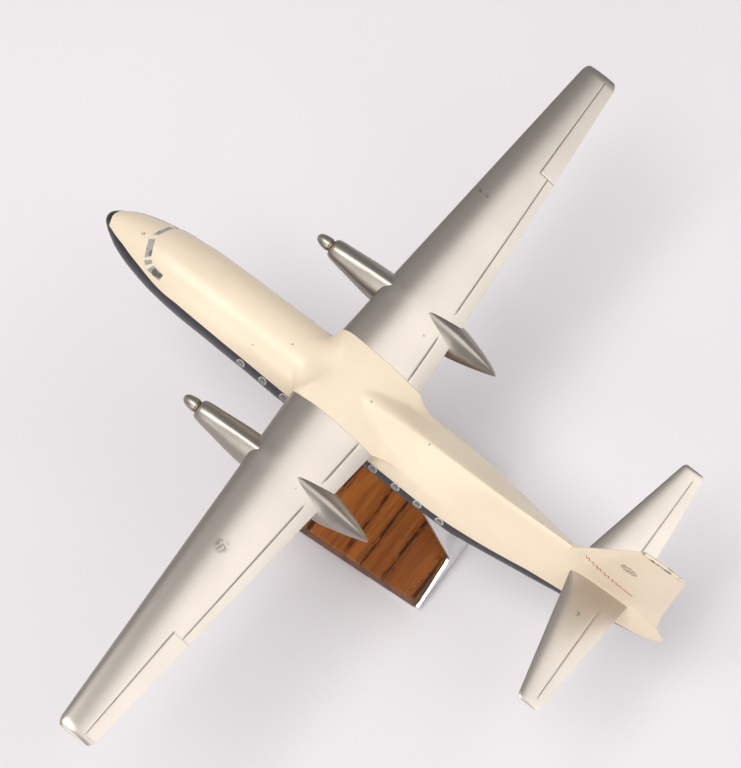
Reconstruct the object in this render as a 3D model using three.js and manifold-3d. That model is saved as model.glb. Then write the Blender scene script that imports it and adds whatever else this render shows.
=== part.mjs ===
// A desktop model of a high-wing twin-turboprop airliner on a wood and aluminium stand.
// Millimetres, +Z up. The airframe is drawn level in a group of its own, with x to the port (left)
// wing tip, y the station aft of the nose tip and z up from the fuselage axis. That group is then
// pitched nose-up and lifted onto the stand. The origin is the middle of the stand's underside.
import * as THREE from "three";
import { mergeVertices } from "three/addons/utils/BufferGeometryUtils.js";
import Module from "manifold-3d";

const wasm = await Module();
wasm.setup();

// ---- Driving dimensions ----------------------------------------------------------------------

const GAP = 0.3; // between touching castings
const PRESS_GAP = 0.1; // round a pin in its hole
const RUNNING_GAP = 0.08; // round the shaft in its bush
const SCREW_GAP = 0.3; // round a screw in the hole of the plate it clamps

const PITCH = 16; // nose-up attitude on the stand, degrees
const AXIS_HEIGHT = 215.2; // nose tip of the level airframe above the table
const BALANCE_STATION = 208.8; // distance from the nose tip to the origin, along the table

const FUSELAGE = {
  length: 465.5,
  radius: 26.5,
  noseLength: 115,
  tailLength: 175,
  noseDrop: 2.3, // nose tip below the axis
  waistDroop: 8, // how far the widest line sinks behind the wing
  crestStart: 150, // station where the crest leaves the round cabin roof
  crestHeight: 35, // crest over and behind the wing, above the axis
  keelFlat: 25, // width of the flat that takes the stand's tab
};

const WING = {
  rootX: 27,
  semiSpan: 288.5,
  rootLeading: 173.1, // station of the leading edge at the root
  rootHeight: 25, // leading edge above the axis at the root
  rootChord: 66.4,
  tipChord: 26,
  sweep: 3.6, // of the leading edge, degrees
  dihedral: 2.54,
  rootIncidence: 5.1,
  tipIncidence: -0.2,
  rootThickness: 0.21, // of the chord
  tipThickness: 0.15,
  camber: 0.02,
  trailingEdge: 0.9,
  tipRound: 7,
};

const TAILPLANE = {
  rootX: 3,
  semiSpan: 98,
  rootLeading: FUSELAGE.length - 79.5,
  rootHeight: 23.7,
  rootChord: 44.9,
  tipChord: 15.9,
  sweep: 12,
  dihedral: 5.2,
  rootIncidence: 0,
  tipIncidence: 0,
  rootThickness: 0.13,
  tipThickness: 0.12,
  camber: 0,
  trailingEdge: 0.7,
  tipRound: 4,
};

const FIN = {
  seatStation: FUSELAGE.length - 86, // front of the seat cut in the fuselage
  seatHeight: 30, // floor of that seat above the axis
  leadingFoot: 47.3, // height where the leading edge leaves the crest
  topHeight: 117.3, // at the front corner
  topRise: 3.2, // of the flat top towards the rear corner
  topLeading: FUSELAGE.length - 57.5, // station of the front corner
  topChord: 31.5,
  trailingFoot: FUSELAGE.length - 15.7, // lower end of the straight trailing edge
  trailingFootHeight: 45.7,
  rootThickness: 7.4,
  topThickness: 3.6,
};

const NACELLE = {
  x: 72.5, // centre plane from the fuselage axis
  front: 132.1, // station of the flat front face
  tail: 271.8, // station of the tail tip
  axisHeight: 17.2, // propeller axis above the fuselage axis
  faceRadius: 6,
  maxHalfWidth: 11.8,
  depthBelow: 19, // of the belly below the propeller axis
  tailHeight: 11.2, // of the tail tip above the fuselage axis
};

const SPINNER = { radius: 4.7, length: 9.9, baseGap: 0.2 };
const COLLAR = { radius: 4.2, length: 1.4, faceGap: 0.4 };
const SHAFT = { radius: 1.5, inSpinner: 6.5, length: 25 };
const BUSH = { radius: 3.4, length: 12, recess: 0.3 };
const CLIP = { radius: 2.7, thickness: 0.8, behindBush: 1 };
const CHAMBER = 5; // free depth of the nacelle bore behind the bush

const FRONT_SPAR = { radius: 2.5, chordShare: 0.28, reach: 62 };
const REAR_SPAR = { radius: 2, chordShare: 0.6, reach: 56 };
const FRONT_TAIL_DOWEL = { radius: 1.2, chordShare: 0.3, reach: 14 };
const REAR_TAIL_DOWEL = { radius: 0.9, chordShare: 0.58, reach: 12 };
const FIN_DOWEL = { radius: 1.5, below: 10, above: 13, behindSeat: [11.5, 42.5] };
const NACELLE_PIN = { radius: 1.4, length: 13, chordShares: [0.3, 0.66] };

const BLOCK = {
  width: 103,
  length: 140.5,
  thickness: 18,
  rear: 71.2, // rear end from the origin
  edgeRound: 1,
};

const BRACKET = {
  thickness: 2.2,
  footLength: 44, // of the flat foot let into the block
  wallGap: 0.5, // to the block, underneath and behind
  bendRadius: 7, // outer radius of the foot bend
  wristHeight: 18.5, // where the strap bends forward
  wristRadius: 14,
  lean: 19, // of the strap, forward of upright, degrees
  strapWidth: 24,
  shoulderLow: 7.5, // height of the shoulder at the block's sides
  shoulderHigh: 17.8, // height of the shoulder where it meets the strap
  neckRadius: 3, // between the shoulder and the strap
  tabLength: 32, // under the fuselage
  tabBendRadius: 5,
};

const BLOCK_SCREW = {
  headRadius: 3.6,
  headDepth: 1.8,
  radius: 1.7,
  length: 13,
  x: 33, // either side of the middle
  fromFootFront: [10, 29],
};

const BELLY_SCREW = {
  headRadius: 3.4,
  headHeight: 2.2,
  radius: 1.9,
  length: 11,
  fromTabFront: [6.5, 21.5],
};
const INSERT = { radius: 3.3, length: 10, recess: 0.2 };

// ---- Materials -------------------------------------------------------------------------------

const paint = (color, roughness, metalness = 0) =>
  new THREE.MeshStandardMaterial({ color, roughness, metalness });

const MATERIALS = {
  cream: paint(0xf3e4c8, 0.35),
  silver: paint(0xb9b4ab, 0.42, 0.7),
  aluminium: paint(0xc9c9cc, 0.28, 1),
  steel: paint(0x9a9a9c, 0.35, 1),
  brass: paint(0xb08a45, 0.35, 1),
  wood: paint(0x8a4d22, 0.45),
};

// ---- Small geometry tools --------------------------------------------------------------------

const rad = THREE.MathUtils.degToRad;
const lerp = THREE.MathUtils.lerp;
const clamp = THREE.MathUtils.clamp;

// A smooth curve through [x, y] pairs with rising x that never overshoots between them.
function through(pairs) {
  const n = pairs.length;
  const slope = (i) =>
    (pairs[i + 1][1] - pairs[i][1]) / (pairs[i + 1][0] - pairs[i][0]);
  const tangent = (i) => {
    if (i === 0) return slope(0);
    if (i === n - 1) return slope(n - 2);
    const [before, after] = [slope(i - 1), slope(i)];
    return before * after <= 0 ? 0 : (2 * before * after) / (before + after);
  };
  return (x) => {
    const at = clamp(x, pairs[0][0], pairs[n - 1][0]);
    let i = 0;
    while (i < n - 2 && at > pairs[i + 1][0]) i += 1;
    const span = pairs[i + 1][0] - pairs[i][0];
    const t = (at - pairs[i][0]) / span;
    const rest = 1 - t;
    return (
      pairs[i][1] * (1 + 2 * t) * rest * rest +
      tangent(i) * span * t * rest * rest +
      pairs[i + 1][1] * t * t * (3 - 2 * t) -
      tangent(i + 1) * span * t * t * rest
    );
  };
}

// A closed skin over rings of equal point counts, with a fan over each end, faces outward.
function skin(rings) {
  const count = rings[0].length;
  const centre = (ring) =>
    ring
      .reduce((sum, p) => sum.add(p), new THREE.Vector3())
      .divideScalar(count);
  const points = [...rings.flat(), centre(rings[0]), centre(rings.at(-1))];
  const firstHub = rings.length * count;
  const lastRow = (rings.length - 1) * count;
  const faces = [];
  for (let k = 0; k < count; k += 1) {
    const next = (k + 1) % count;
    for (let r = 0; r + 1 < rings.length; r += 1) {
      const [a, b] = [r * count, (r + 1) * count];
      faces.push(a + k, a + next, b + next, a + k, b + next, b + k);
    }
    faces.push(firstHub, next, k);
    faces.push(firstHub + 1, lastRow + k, lastRow + next);
  }
  return facingOut(new THREE.BufferGeometry().setFromPoints(points).setIndex(faces));
}

// The same geometry, turned over when its faces point inwards.
function facingOut(geometry) {
  const { position } = geometry.attributes;
  const faces = [...geometry.index.array];
  const corner = (i) => new THREE.Vector3().fromBufferAttribute(position, faces[i]);
  let volume = 0;
  for (let i = 0; i < faces.length; i += 3)
    volume += corner(i).dot(corner(i + 1).cross(corner(i + 2)));
  return volume < 0 ? geometry.setIndex(faces.reverse()) : geometry;
}

// A geometry as a solid that can be joined and cut.
function solid(geometry) {
  const bare = geometry.clone();
  bare.deleteAttribute("normal");
  bare.deleteAttribute("uv");
  const merged = mergeVertices(bare, 1e-4);
  return new wasm.Manifold(
    new wasm.Mesh({
      numProp: 3,
      vertProperties: new Float32Array(merged.attributes.position.array),
      triVerts: new Uint32Array(merged.index.array),
    }),
  );
}

// A solid as a geometry with flat faces.
function surface(body) {
  const { vertProperties, triVerts, numProp } = body.getMesh();
  const positions = [];
  for (let i = 0; i < vertProperties.length; i += numProp)
    positions.push(...vertProperties.subarray(i, i + 3));
  const geometry = new THREE.BufferGeometry();
  geometry.setAttribute("position", new THREE.Float32BufferAttribute(positions, 3));
  geometry.setIndex([...triVerts]);
  return geometry;
}

const cut = (body, tools) => tools.reduce((rest, tool) => rest.subtract(tool), body);
const join = (bodies) => bodies.reduce((whole, body) => whole.add(body));
const mirrored = (geometry) => {
  const twin = geometry.clone().applyMatrix4(new THREE.Matrix4().makeScale(-1, 1, 1));
  return twin.setIndex([...twin.index.array].reverse());
};

// A round bar from one point to another.
function bar(from, to, radius, sides = 20) {
  const along = new THREE.Vector3().subVectors(to, from);
  const turn = new THREE.Quaternion().setFromUnitVectors(
    new THREE.Vector3(0, 1, 0),
    along.clone().normalize(),
  );
  return new THREE.CylinderGeometry(radius, radius, along.length(), sides)
    .applyQuaternion(turn)
    .translate(...from.clone().lerp(to, 0.5).toArray());
}

// A turned piece about the line through `at` along y, from [station, radius] pairs.
function turned(pairs, at, sides = 24) {
  const profile = pairs.map(([station, radius]) => new THREE.Vector2(radius, station));
  return facingOut(new THREE.LatheGeometry(profile, sides)).translate(at.x, 0, at.z);
}

function box(low, high) {
  const size = new THREE.Vector3().subVectors(high, low);
  return new THREE.BoxGeometry(...size.toArray()).translate(
    ...low.clone().add(high).divideScalar(2).toArray(),
  );
}

const vec = (x, y, z) => new THREE.Vector3(x, y, z);

// ---- Fuselage skin ---------------------------------------------------------------------------

const TAIL_START = FUSELAGE.length - FUSELAGE.tailLength;

// Half width of the nose, as shares of its length and of the full radius.
const noseShare = through([
  [0, 0.03],
  [0.01, 0.14],
  [0.03, 0.235],
  [0.08, 0.38],
  [0.17, 0.575],
  [0.3, 0.745],
  [0.5, 0.905],
  [0.72, 0.98],
  [1, 1],
]);

// The same for the tail cone, from its start to its end.
const tailShare = through([
  [0, 1],
  [0.08, 0.99],
  [0.22, 0.905],
  [0.45, 0.715],
  [0.68, 0.478],
  [0.88, 0.283],
  [0.96, 0.22],
  [0.985, 0.175],
  [1, 0.08],
]);

// How far the waist, the widest line, lies below the axis, as a share of its greatest droop.
const waistShare = through([
  [-0.45, 0],
  [0, 0.7],
  [0.15, 1],
  [0.3, 0.8],
  [0.45, 0.64],
  [0.68, 0.31],
  [0.88, 0.1],
  [1, 0],
]);

// Depth of the section below the waist over its half width.
const keelShare = through([
  [-0.45, 1],
  [0, 0.78],
  [0.2, 0.76],
  [0.45, 0.84],
  [0.68, 0.94],
  [0.9, 1],
]);

const tailway = (station) => (station - TAIL_START) / FUSELAGE.tailLength;

function halfWidth(station) {
  const nose = station / FUSELAGE.noseLength;
  if (nose < 1) return FUSELAGE.radius * noseShare(nose);
  return FUSELAGE.radius * tailShare(tailway(station));
}

// Height of the widest line above the axis.
function waist(station) {
  const nose = clamp(station / (1.3 * FUSELAGE.noseLength), 0, 1);
  return -FUSELAGE.noseDrop * (1 - nose) - FUSELAGE.waistDroop * waistShare(tailway(station));
}

// Height of the crest above the axis, from the cabin roof over the wing to the tail's end.
const WING_TRAILING = WING.rootLeading + WING.rootChord;
const behindWing = (share) => lerp(WING_TRAILING, FIN.seatStation, share);
const crest = through([
  [FUSELAGE.crestStart, FUSELAGE.radius],
  [WING.rootLeading, FUSELAGE.radius + 2.4],
  [WING.rootLeading + 0.3 * WING.rootChord, FUSELAGE.crestHeight - 1.6],
  [WING.rootLeading + 0.6 * WING.rootChord, FUSELAGE.crestHeight],
  [WING_TRAILING, FUSELAGE.crestHeight],
  [behindWing(0.18), FUSELAGE.crestHeight - 0.7],
  [behindWing(0.38), FUSELAGE.crestHeight + 0.8],
  [behindWing(0.58), FUSELAGE.crestHeight + 3.2],
  [behindWing(0.8), lerp(FUSELAGE.crestHeight, FIN.leadingFoot, 0.66)],
  [FIN.seatStation, FIN.leadingFoot],
  [lerp(FIN.seatStation, FIN.trailingFoot, 0.7), FIN.leadingFoot - 8],
  [FIN.trailingFoot, 0.5 * FIN.leadingFoot],
  [FUSELAGE.length, 0.1 * FIN.leadingFoot],
]);

const CREST_SOFTNESS = 0.05; // rounding of the crest line, radians

// A point of the fuselage skin: the round section, drawn out to the crest by its two tangents.
function fuselagePoint(station, angle) {
  const radius = halfWidth(station);
  const reach = Math.max(1, (crest(station) - waist(station)) / radius);
  const touch = Math.acos(1 / reach);
  const off = Math.hypot(angle, CREST_SOFTNESS);
  const out = station > FUSELAGE.crestStart && off < touch ? 1 / Math.cos(touch - off) : 1;
  const depth = Math.cos(angle) < 0 ? keelShare(tailway(station)) : 1;
  return vec(
    radius * out * Math.sin(angle),
    station,
    waist(station) + radius * out * depth * Math.cos(angle),
  );
}

function fuselageSkin() {
  const nose = [0, 0.012, 0.03, 0.07, 0.13, 0.22, 0.35, 0.5, 0.7, 0.87];
  const waist = [0, 0.13, 0.24, 0.36, 0.48, 0.6, 0.75, 0.88];
  const tail = [0, 0.1, 0.2, 0.3, 0.4, 0.5, 0.6, 0.7, 0.8, 0.9, 0.96, 1];
  const stations = [
    ...nose.map((t) => t * FUSELAGE.noseLength),
    ...waist.map((t) => lerp(FUSELAGE.noseLength, TAIL_START, t)),
    ...tail.map((t) => TAIL_START + t * FUSELAGE.tailLength),
  ];
  const sides = 36;
  return skin(
    stations.map((station) =>
      Array.from({ length: sides }, (_, k) =>
        fuselagePoint(station, ((k < sides / 2 ? k : k - sides) / sides) * 2 * Math.PI),
      ),
    ),
  );
}

// ---- Lifting surfaces ------------------------------------------------------------------------

// Half thickness of a rounded-nose section at a share of the chord, per unit of full thickness.
const thicknessShare = (c) =>
  1.4845 * Math.sqrt(c) - 0.63 * c - 1.758 * c ** 2 + 1.4215 * c ** 3 - 0.518 * c ** 4;

const CHORD_SHARES = [1, 0.86, 0.68, 0.5, 0.34, 0.21, 0.11, 0.045, 0.01];

// Where a wing or tailplane has its leading edge, chord and set at a distance from the axis.
function planform(plane, x) {
  const share = (x - plane.rootX) / (plane.semiSpan - plane.rootX);
  const out = Math.max(0, x - plane.rootX);
  return {
    leading: plane.rootLeading + out * Math.tan(rad(plane.sweep)),
    height: plane.rootHeight + out * Math.tan(rad(plane.dihedral)),
    chord: lerp(plane.rootChord, plane.tipChord, Math.max(0, share)),
    incidence: rad(lerp(plane.rootIncidence, plane.tipIncidence, Math.max(0, share))),
    thickness: lerp(plane.rootThickness, plane.tipThickness, Math.max(0, share)),
  };
}

// The upper and lower skin heights of a plane's section at a share of its chord.
function planePoint(plane, x, c, side, grow = 0, close = 1, trim = 0) {
  const { leading, height, chord, incidence, thickness } = planform(plane, x);
  const inset = trim - grow;
  const along = inset + c * (chord - 2 * inset);
  const camber = plane.camber * chord * 4 * c * (1 - c);
  const half =
    close * (thickness * chord * thicknessShare(c) + (plane.trailingEdge / 2) * c) + grow;
  const lift = camber + side * half;
  return vec(
    x,
    leading + along * Math.cos(incidence) + lift * Math.sin(incidence),
    height - along * Math.sin(incidence) + lift * Math.cos(incidence),
  );
}

// A closed ring round the section: over the top from the trailing edge, back underneath.
function planeRing(plane, x, grow, close, trim) {
  const over = CHORD_SHARES.map((c) => planePoint(plane, x, c, 1, grow, close, trim));
  const under = CHORD_SHARES.map((c) => planePoint(plane, x, c, -1, grow, close, trim));
  return [...over, planePoint(plane, x, 0, 0, grow, close, trim), ...under.reverse()];
}

// The port half of a wing or tailplane with a rounded tip, from `rootX` outwards.
function planeSkin(plane, rootX, grow = 0) {
  const tipStart = plane.semiSpan - plane.tipRound;
  const straight = [0, 0.25, 0.5, 0.75, 1].map((t) => lerp(rootX, tipStart, t));
  const rings = straight.map((x) => planeRing(plane, x, grow, 1, 0));
  for (const turn of [30, 52, 70, 84].map(rad)) {
    const x = tipStart + plane.tipRound * Math.sin(turn) + grow;
    const trim = plane.tipRound * 0.55 * (1 - Math.cos(turn));
    rings.push(planeRing(plane, x, grow, Math.cos(turn), trim));
  }
  return skin(rings);
}

// The stretch of a plane that is cast with the fuselage, from one root face to the other.
function centreSkin(plane) {
  const ring = (x) =>
    planeRing(plane, plane.rootX, 0, 1, 0).map((p) => vec(x, p.y, p.z));
  return skin([ring(-plane.rootX), ring(plane.rootX)]);
}

// The middle of a plane's thickness at a share of its chord.
const heart = (plane, x, c) => planePoint(plane, x, c, 0);

// A straight dowel through both roots of a plane.
function crossDowel(plane, { radius, chordShare, reach }, grow = 0) {
  const at = heart(plane, plane.rootX, chordShare);
  const end = reach + grow;
  return bar(vec(-end, at.y, at.z), vec(end, at.y, at.z), radius + grow);
}

// ---- Fin -------------------------------------------------------------------------------------

// The leading edge rises straight to the top corner; the trailing edge sweeps into the tail cone.
const finLeading = (z) =>
  FIN.seatStation +
  ((z - FIN.leadingFoot) / (FIN.topHeight - FIN.leadingFoot)) *
    (FIN.topLeading - FIN.seatStation);
const finTrailing = through([
  [0, FUSELAGE.length - 0.6],
  [5, FUSELAGE.length - 3.5],
  [12.3, FUSELAGE.length - 8.2],
  [0.6 * FIN.trailingFootHeight, FIN.trailingFoot + 3],
  [FIN.trailingFootHeight, FIN.trailingFoot],
  [FIN.topHeight + FIN.topRise, FIN.topLeading + FIN.topChord],
]);
const finThickness = (z) =>
  lerp(FIN.rootThickness, FIN.topThickness, clamp((z - 20) / (FIN.topHeight - 20), 0, 1));

// Section of the fin at a height: a lens with its widest point at a third of the chord.
function finRing(z, grow, rise = 0) {
  const [leading, trailing] = [finLeading(z), finTrailing(z)];
  const side = (sign) =>
    CHORD_SHARES.map((c) =>
      vec(
        sign * (finThickness(z) * thicknessShare(c) + 0.4 * c + grow),
        lerp(leading - grow, trailing + grow, c),
        z + rise * c,
      ),
    );
  return [...side(1), vec(0, leading - grow, z), ...side(-1).reverse()];
}

function finSkin(grow = 0) {
  const heights = [2, 12, 24, 36, FIN.leadingFoot, 70, 95];
  const rings = heights.map((z) => finRing(z, grow));
  rings.push(finRing(FIN.topHeight, grow, FIN.topRise));
  return skin(rings);
}

// Everything above the fin's seat and behind its front.
function finRegion(grow) {
  return solid(
    box(
      vec(-40, FIN.seatStation - grow, FIN.seatHeight - grow),
      vec(40, FUSELAGE.length + 40, FIN.topHeight + 40),
    ),
  );
}

const finDowels = (grow = 0) =>
  FIN_DOWEL.behindSeat.map((back) =>
    bar(
      vec(0, FIN.seatStation + back, FIN.seatHeight - FIN_DOWEL.below - grow),
      vec(0, FIN.seatStation + back, FIN.seatHeight + FIN_DOWEL.above + grow),
      FIN_DOWEL.radius + grow,
      16,
    ),
  );

// ---- Engine nacelles -------------------------------------------------------------------------

const NACELLE_LENGTH = NACELLE.tail - NACELLE.front;

// Half width, top and belly along the nacelle, by share of its length.
const nacelleWidth = through([
  [0, NACELLE.faceRadius],
  [0.02, NACELLE.faceRadius + 1.2],
  [0.1, NACELLE.faceRadius + 2.6],
  [0.3, NACELLE.maxHalfWidth - 0.5],
  [0.5, NACELLE.maxHalfWidth],
  [0.73, NACELLE.maxHalfWidth - 0.4],
  [0.86, 0.64 * NACELLE.maxHalfWidth],
  [0.95, 0.3 * NACELLE.maxHalfWidth],
  [1, 0.6],
]);
const nacelleTop = through([
  [0, NACELLE.axisHeight + NACELLE.faceRadius],
  [0.02, NACELLE.axisHeight + NACELLE.faceRadius + 1.1],
  [0.12, NACELLE.axisHeight + NACELLE.faceRadius + 3.4],
  [0.3, NACELLE.axisHeight + 13.4],
  [0.42, NACELLE.axisHeight + 14.8],
  [0.54, NACELLE.axisHeight + 13.6],
  [0.72, NACELLE.axisHeight + 10.8],
  [0.85, NACELLE.axisHeight + 5.6],
  [0.95, lerp(NACELLE.axisHeight, NACELLE.tailHeight, 0.75) + 2],
  [1, NACELLE.tailHeight + 0.6],
]);
const nacelleBelly = through([
  [0, NACELLE.axisHeight - NACELLE.faceRadius],
  [0.02, NACELLE.axisHeight - NACELLE.faceRadius - 1.4],
  [0.14, NACELLE.axisHeight - 0.66 * NACELLE.depthBelow],
  [0.34, NACELLE.axisHeight - NACELLE.depthBelow],
  [0.56, NACELLE.axisHeight - NACELLE.depthBelow],
  [0.75, NACELLE.axisHeight - 0.8 * NACELLE.depthBelow],
  [0.9, lerp(NACELLE.axisHeight - 0.8 * NACELLE.depthBelow, NACELLE.tailHeight, 0.72)],
  [1, NACELLE.tailHeight - 0.6],
]);

function nacelleSkin() {
  const shares = [0, 0.02, 0.07, 0.14, 0.22, 0.3, 0.4, 0.5, 0.6, 0.7, 0.78, 0.86, 0.93, 0.975, 1];
  const sides = 28;
  return skin(
    shares.map((share) => {
      const [top, belly] = [nacelleTop(share), nacelleBelly(share)];
      return Array.from({ length: sides }, (_, k) => {
        const angle = (k / sides) * 2 * Math.PI;
        return vec(
          NACELLE.x + nacelleWidth(share) * Math.sin(angle),
          NACELLE.front + share * NACELLE_LENGTH,
          (top + belly) / 2 + ((top - belly) / 2) * Math.cos(angle),
        );
      });
    }),
  );
}

const SHAFT_LINE = vec(NACELLE.x, 0, NACELLE.axisHeight);

// Stations of what turns with the spinner, counted back from the nacelle's front face.
const COLLAR_FRONT = NACELLE.front - COLLAR.faceGap - COLLAR.length;
const SPINNER_BASE = COLLAR_FRONT - SPINNER.baseGap;
const SHAFT_FRONT = SPINNER_BASE - SHAFT.inSpinner;
const BUSH_FRONT = NACELLE.front + BUSH.recess;
const BUSH_BACK = BUSH_FRONT + BUSH.length;

function nacelle(pins) {
  const bore = turned(
    [
      [NACELLE.front - 1, 0],
      [NACELLE.front - 1, BUSH.radius + PRESS_GAP],
      [BUSH_BACK + CHAMBER, BUSH.radius + PRESS_GAP],
      [BUSH_BACK + CHAMBER, 0],
    ],
    SHAFT_LINE,
  );
  const skin = solid(planeSkin(WING, WING.rootX, GAP));
  return cut(solid(nacelleSkin()), [skin, solid(bore), ...pins.map(solid)]);
}

function spinner() {
  const steps = 7;
  const outline = Array.from({ length: steps + 1 }, (_, k) => {
    const turn = ((k / steps) * Math.PI) / 2;
    return [
      SPINNER_BASE - SPINNER.length * Math.cos(turn),
      SPINNER.radius * Math.sin(turn) ** 0.85,
    ];
  });
  const hole = SHAFT.radius + PRESS_GAP;
  return turned(
    [
      ...outline,
      [SPINNER_BASE, hole],
      [SHAFT_FRONT - GAP, hole],
      [SHAFT_FRONT - GAP, 0],
    ].reverse(),
    SHAFT_LINE,
  );
}

// A washer-shaped piece on the shaft line, from a front station.
function ring(front, length, radius, hole) {
  return turned(
    [
      [front, hole],
      [front + length, hole],
      [front + length, radius],
      [front, radius],
      [front, hole],
    ],
    SHAFT_LINE,
  );
}

const collar = () =>
  ring(COLLAR_FRONT, COLLAR.length, COLLAR.radius, SHAFT.radius + PRESS_GAP);
const bush = () => ring(BUSH_FRONT, BUSH.length, BUSH.radius, SHAFT.radius + RUNNING_GAP);
const clip = () =>
  ring(BUSH_BACK + CLIP.behindBush, CLIP.thickness, CLIP.radius, SHAFT.radius + PRESS_GAP);
const shaft = () =>
  bar(
    vec(SHAFT_LINE.x, SHAFT_FRONT, SHAFT_LINE.z),
    vec(SHAFT_LINE.x, SHAFT_FRONT + SHAFT.length, SHAFT_LINE.z),
    SHAFT.radius,
    24,
  );

// Upright pins that hold the nacelle's belly to the wing.
const nacellePins = (grow = 0) =>
  NACELLE_PIN.chordShares.map((share) => {
    const at = heart(WING, NACELLE.x, share);
    const top = at.z + 1 + grow;
    return bar(
      vec(at.x, at.y, top - NACELLE_PIN.length - 2 * grow),
      vec(at.x, at.y, top),
      NACELLE_PIN.radius + grow,
      16,
    );
  });

// ---- Stand -----------------------------------------------------------------------------------

const LEAN = rad(BRACKET.lean);
const NOSE_UP = rad(PITCH);
const flat = (y, z) => new THREE.Vector2(y, z); // a point of the stand's middle plane

// The same point of that plane, given and returned in the two frames.
const onStand = (station, z) =>
  flat(
    station * Math.cos(NOSE_UP) + z * Math.sin(NOSE_UP) - BALANCE_STATION,
    z * Math.cos(NOSE_UP) - station * Math.sin(NOSE_UP) + AXIS_HEIGHT,
  );
const stationOf = ({ x: y, y: z }) =>
  (y + BALANCE_STATION) * Math.cos(NOSE_UP) - (z - AXIS_HEIGHT) * Math.sin(NOSE_UP);

// The keel flat lies where the round belly is as wide as the flat has to be.
const KEEL_FLAT_HEIGHT = -Math.sqrt(FUSELAGE.radius ** 2 - (FUSELAGE.keelFlat / 2) ** 2);
const TAB_TOP = KEEL_FLAT_HEIGHT - GAP;
const TAB_UNDER = TAB_TOP - BRACKET.thickness;

// The outer face of the bent strip: along the foot, up behind the block, forward to the belly.
const WALL_OUTER = BLOCK.rear + BRACKET.wallGap + BRACKET.thickness;
const FOOT_FRONT = WALL_OUTER - BRACKET.footLength;

// Where the outer face of the leaning strap would meet the upper face of the tab.
function tabCorner() {
  const wrist = flat(WALL_OUTER, BRACKET.wristHeight);
  const strapWay = flat(-Math.sin(LEAN), Math.cos(LEAN));
  const tabWay = flat(-Math.cos(NOSE_UP), Math.sin(NOSE_UP));
  const across = onStand(0, TAB_TOP).sub(wrist);
  return wrist.addScaledVector(strapWay, across.cross(tabWay) / strapWay.cross(tabWay));
}

const TAB_CORNER = tabCorner();
const TAB_REAR = stationOf(TAB_CORNER);
const TAB_FRONT = TAB_REAR - BRACKET.tabLength;
const STRIP_CORNERS = [
  flat(FOOT_FRONT, 0),
  flat(WALL_OUTER, 0),
  flat(WALL_OUTER, BRACKET.wristHeight),
  TAB_CORNER,
  onStand(TAB_FRONT, TAB_TOP),
];
const STRIP_RADII = [BRACKET.bendRadius, BRACKET.wristRadius, BRACKET.tabBendRadius];
const BEND_STEPS = 24;

// One face of the strip, moved to the left of its way round; every bend turns left.
function stripFace(offset) {
  const left = (way) => flat(-way.y, way.x);
  const ways = STRIP_CORNERS.slice(1).map((to, i) => to.clone().sub(STRIP_CORNERS[i]).normalize());
  const bends = STRIP_RADII.flatMap((radius, i) => {
    const [before, after] = [ways[i], ways[i + 1]];
    const turn = before.angleTo(after);
    const inward = left(before).add(left(after)).normalize();
    const centre = STRIP_CORNERS[i + 1]
      .clone()
      .addScaledVector(inward, radius / Math.cos(turn / 2));
    const start = Math.atan2(-before.x, before.y);
    return Array.from({ length: BEND_STEPS + 1 }, (_, k) => {
      const angle = start + (k / BEND_STEPS) * turn;
      const spoke = flat(Math.cos(angle), Math.sin(angle));
      return centre.clone().addScaledVector(spoke, radius - offset);
    });
  });
  return [
    STRIP_CORNERS[0].clone().addScaledVector(left(ways[0]), offset),
    ...bends,
    STRIP_CORNERS.at(-1).clone().addScaledVector(left(ways.at(-1)), offset),
  ];
}

// A plate with an outline drawn in two of the axes, as thick as `depth` along the third.
function extruded(outline, depth, across, up, along) {
  const shape = new THREE.Shape(outline);
  return new THREE.ExtrudeGeometry(shape, { depth, bevelEnabled: false, curveSegments: 8 })
    .translate(0, 0, -depth / 2)
    .applyMatrix4(new THREE.Matrix4().makeBasis(across, up, along));
}

const [ALONG_X, ALONG_Y, ALONG_Z] = [vec(1, 0, 0), vec(0, 1, 0), vec(0, 0, 1)];

// Front view of the bracket: full width below the shoulders, then the strap.
function bracketOutline() {
  const [half, strap] = [BLOCK.width / 2, BRACKET.strapWidth / 2];
  const neck = BRACKET.neckRadius;
  const right = [
    [half, -1],
    [half, BRACKET.shoulderLow],
    [strap + neck, BRACKET.shoulderHigh],
    [strap + 0.3 * neck, BRACKET.shoulderHigh + 0.3 * neck],
    [strap, BRACKET.shoulderHigh + neck],
    [strap, AXIS_HEIGHT],
  ];
  return [...right, ...right.map(([x, z]) => [-x, z]).reverse()].map(([x, z]) => flat(x, z));
}

// Where the screws stand: under the block on the table plane, under the belly by station.
const blockScrewPlaces = () =>
  BLOCK_SCREW.fromFootFront.flatMap((back) =>
    [-1, 1].map((side) => vec(side * BLOCK_SCREW.x, FOOT_FRONT + back, 0)),
  );
const bellyScrewStations = () => BELLY_SCREW.fromTabFront.map((back) => TAB_FRONT + back);

// A round piece standing on `at`, from [height, radius] pairs.
function standing(pairs, at) {
  const profile = pairs.map(([height, radius]) => new THREE.Vector2(radius, height));
  return facingOut(new THREE.LatheGeometry(profile, 20))
    .rotateX(Math.PI / 2)
    .translate(at.x, at.y, at.z);
}

function blockScrew(at, grow = 0) {
  const { headRadius, headDepth, radius, length } = BLOCK_SCREW;
  const foot = grow > 0 ? -1 : 0.2;
  return standing(
    [
      [foot, 0],
      [foot, headRadius + grow],
      [0.4, headRadius + grow],
      [headDepth, radius + grow],
      [length + grow, radius + grow],
      [length + 1.5 + grow, 0],
    ],
    at,
  );
}

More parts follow.
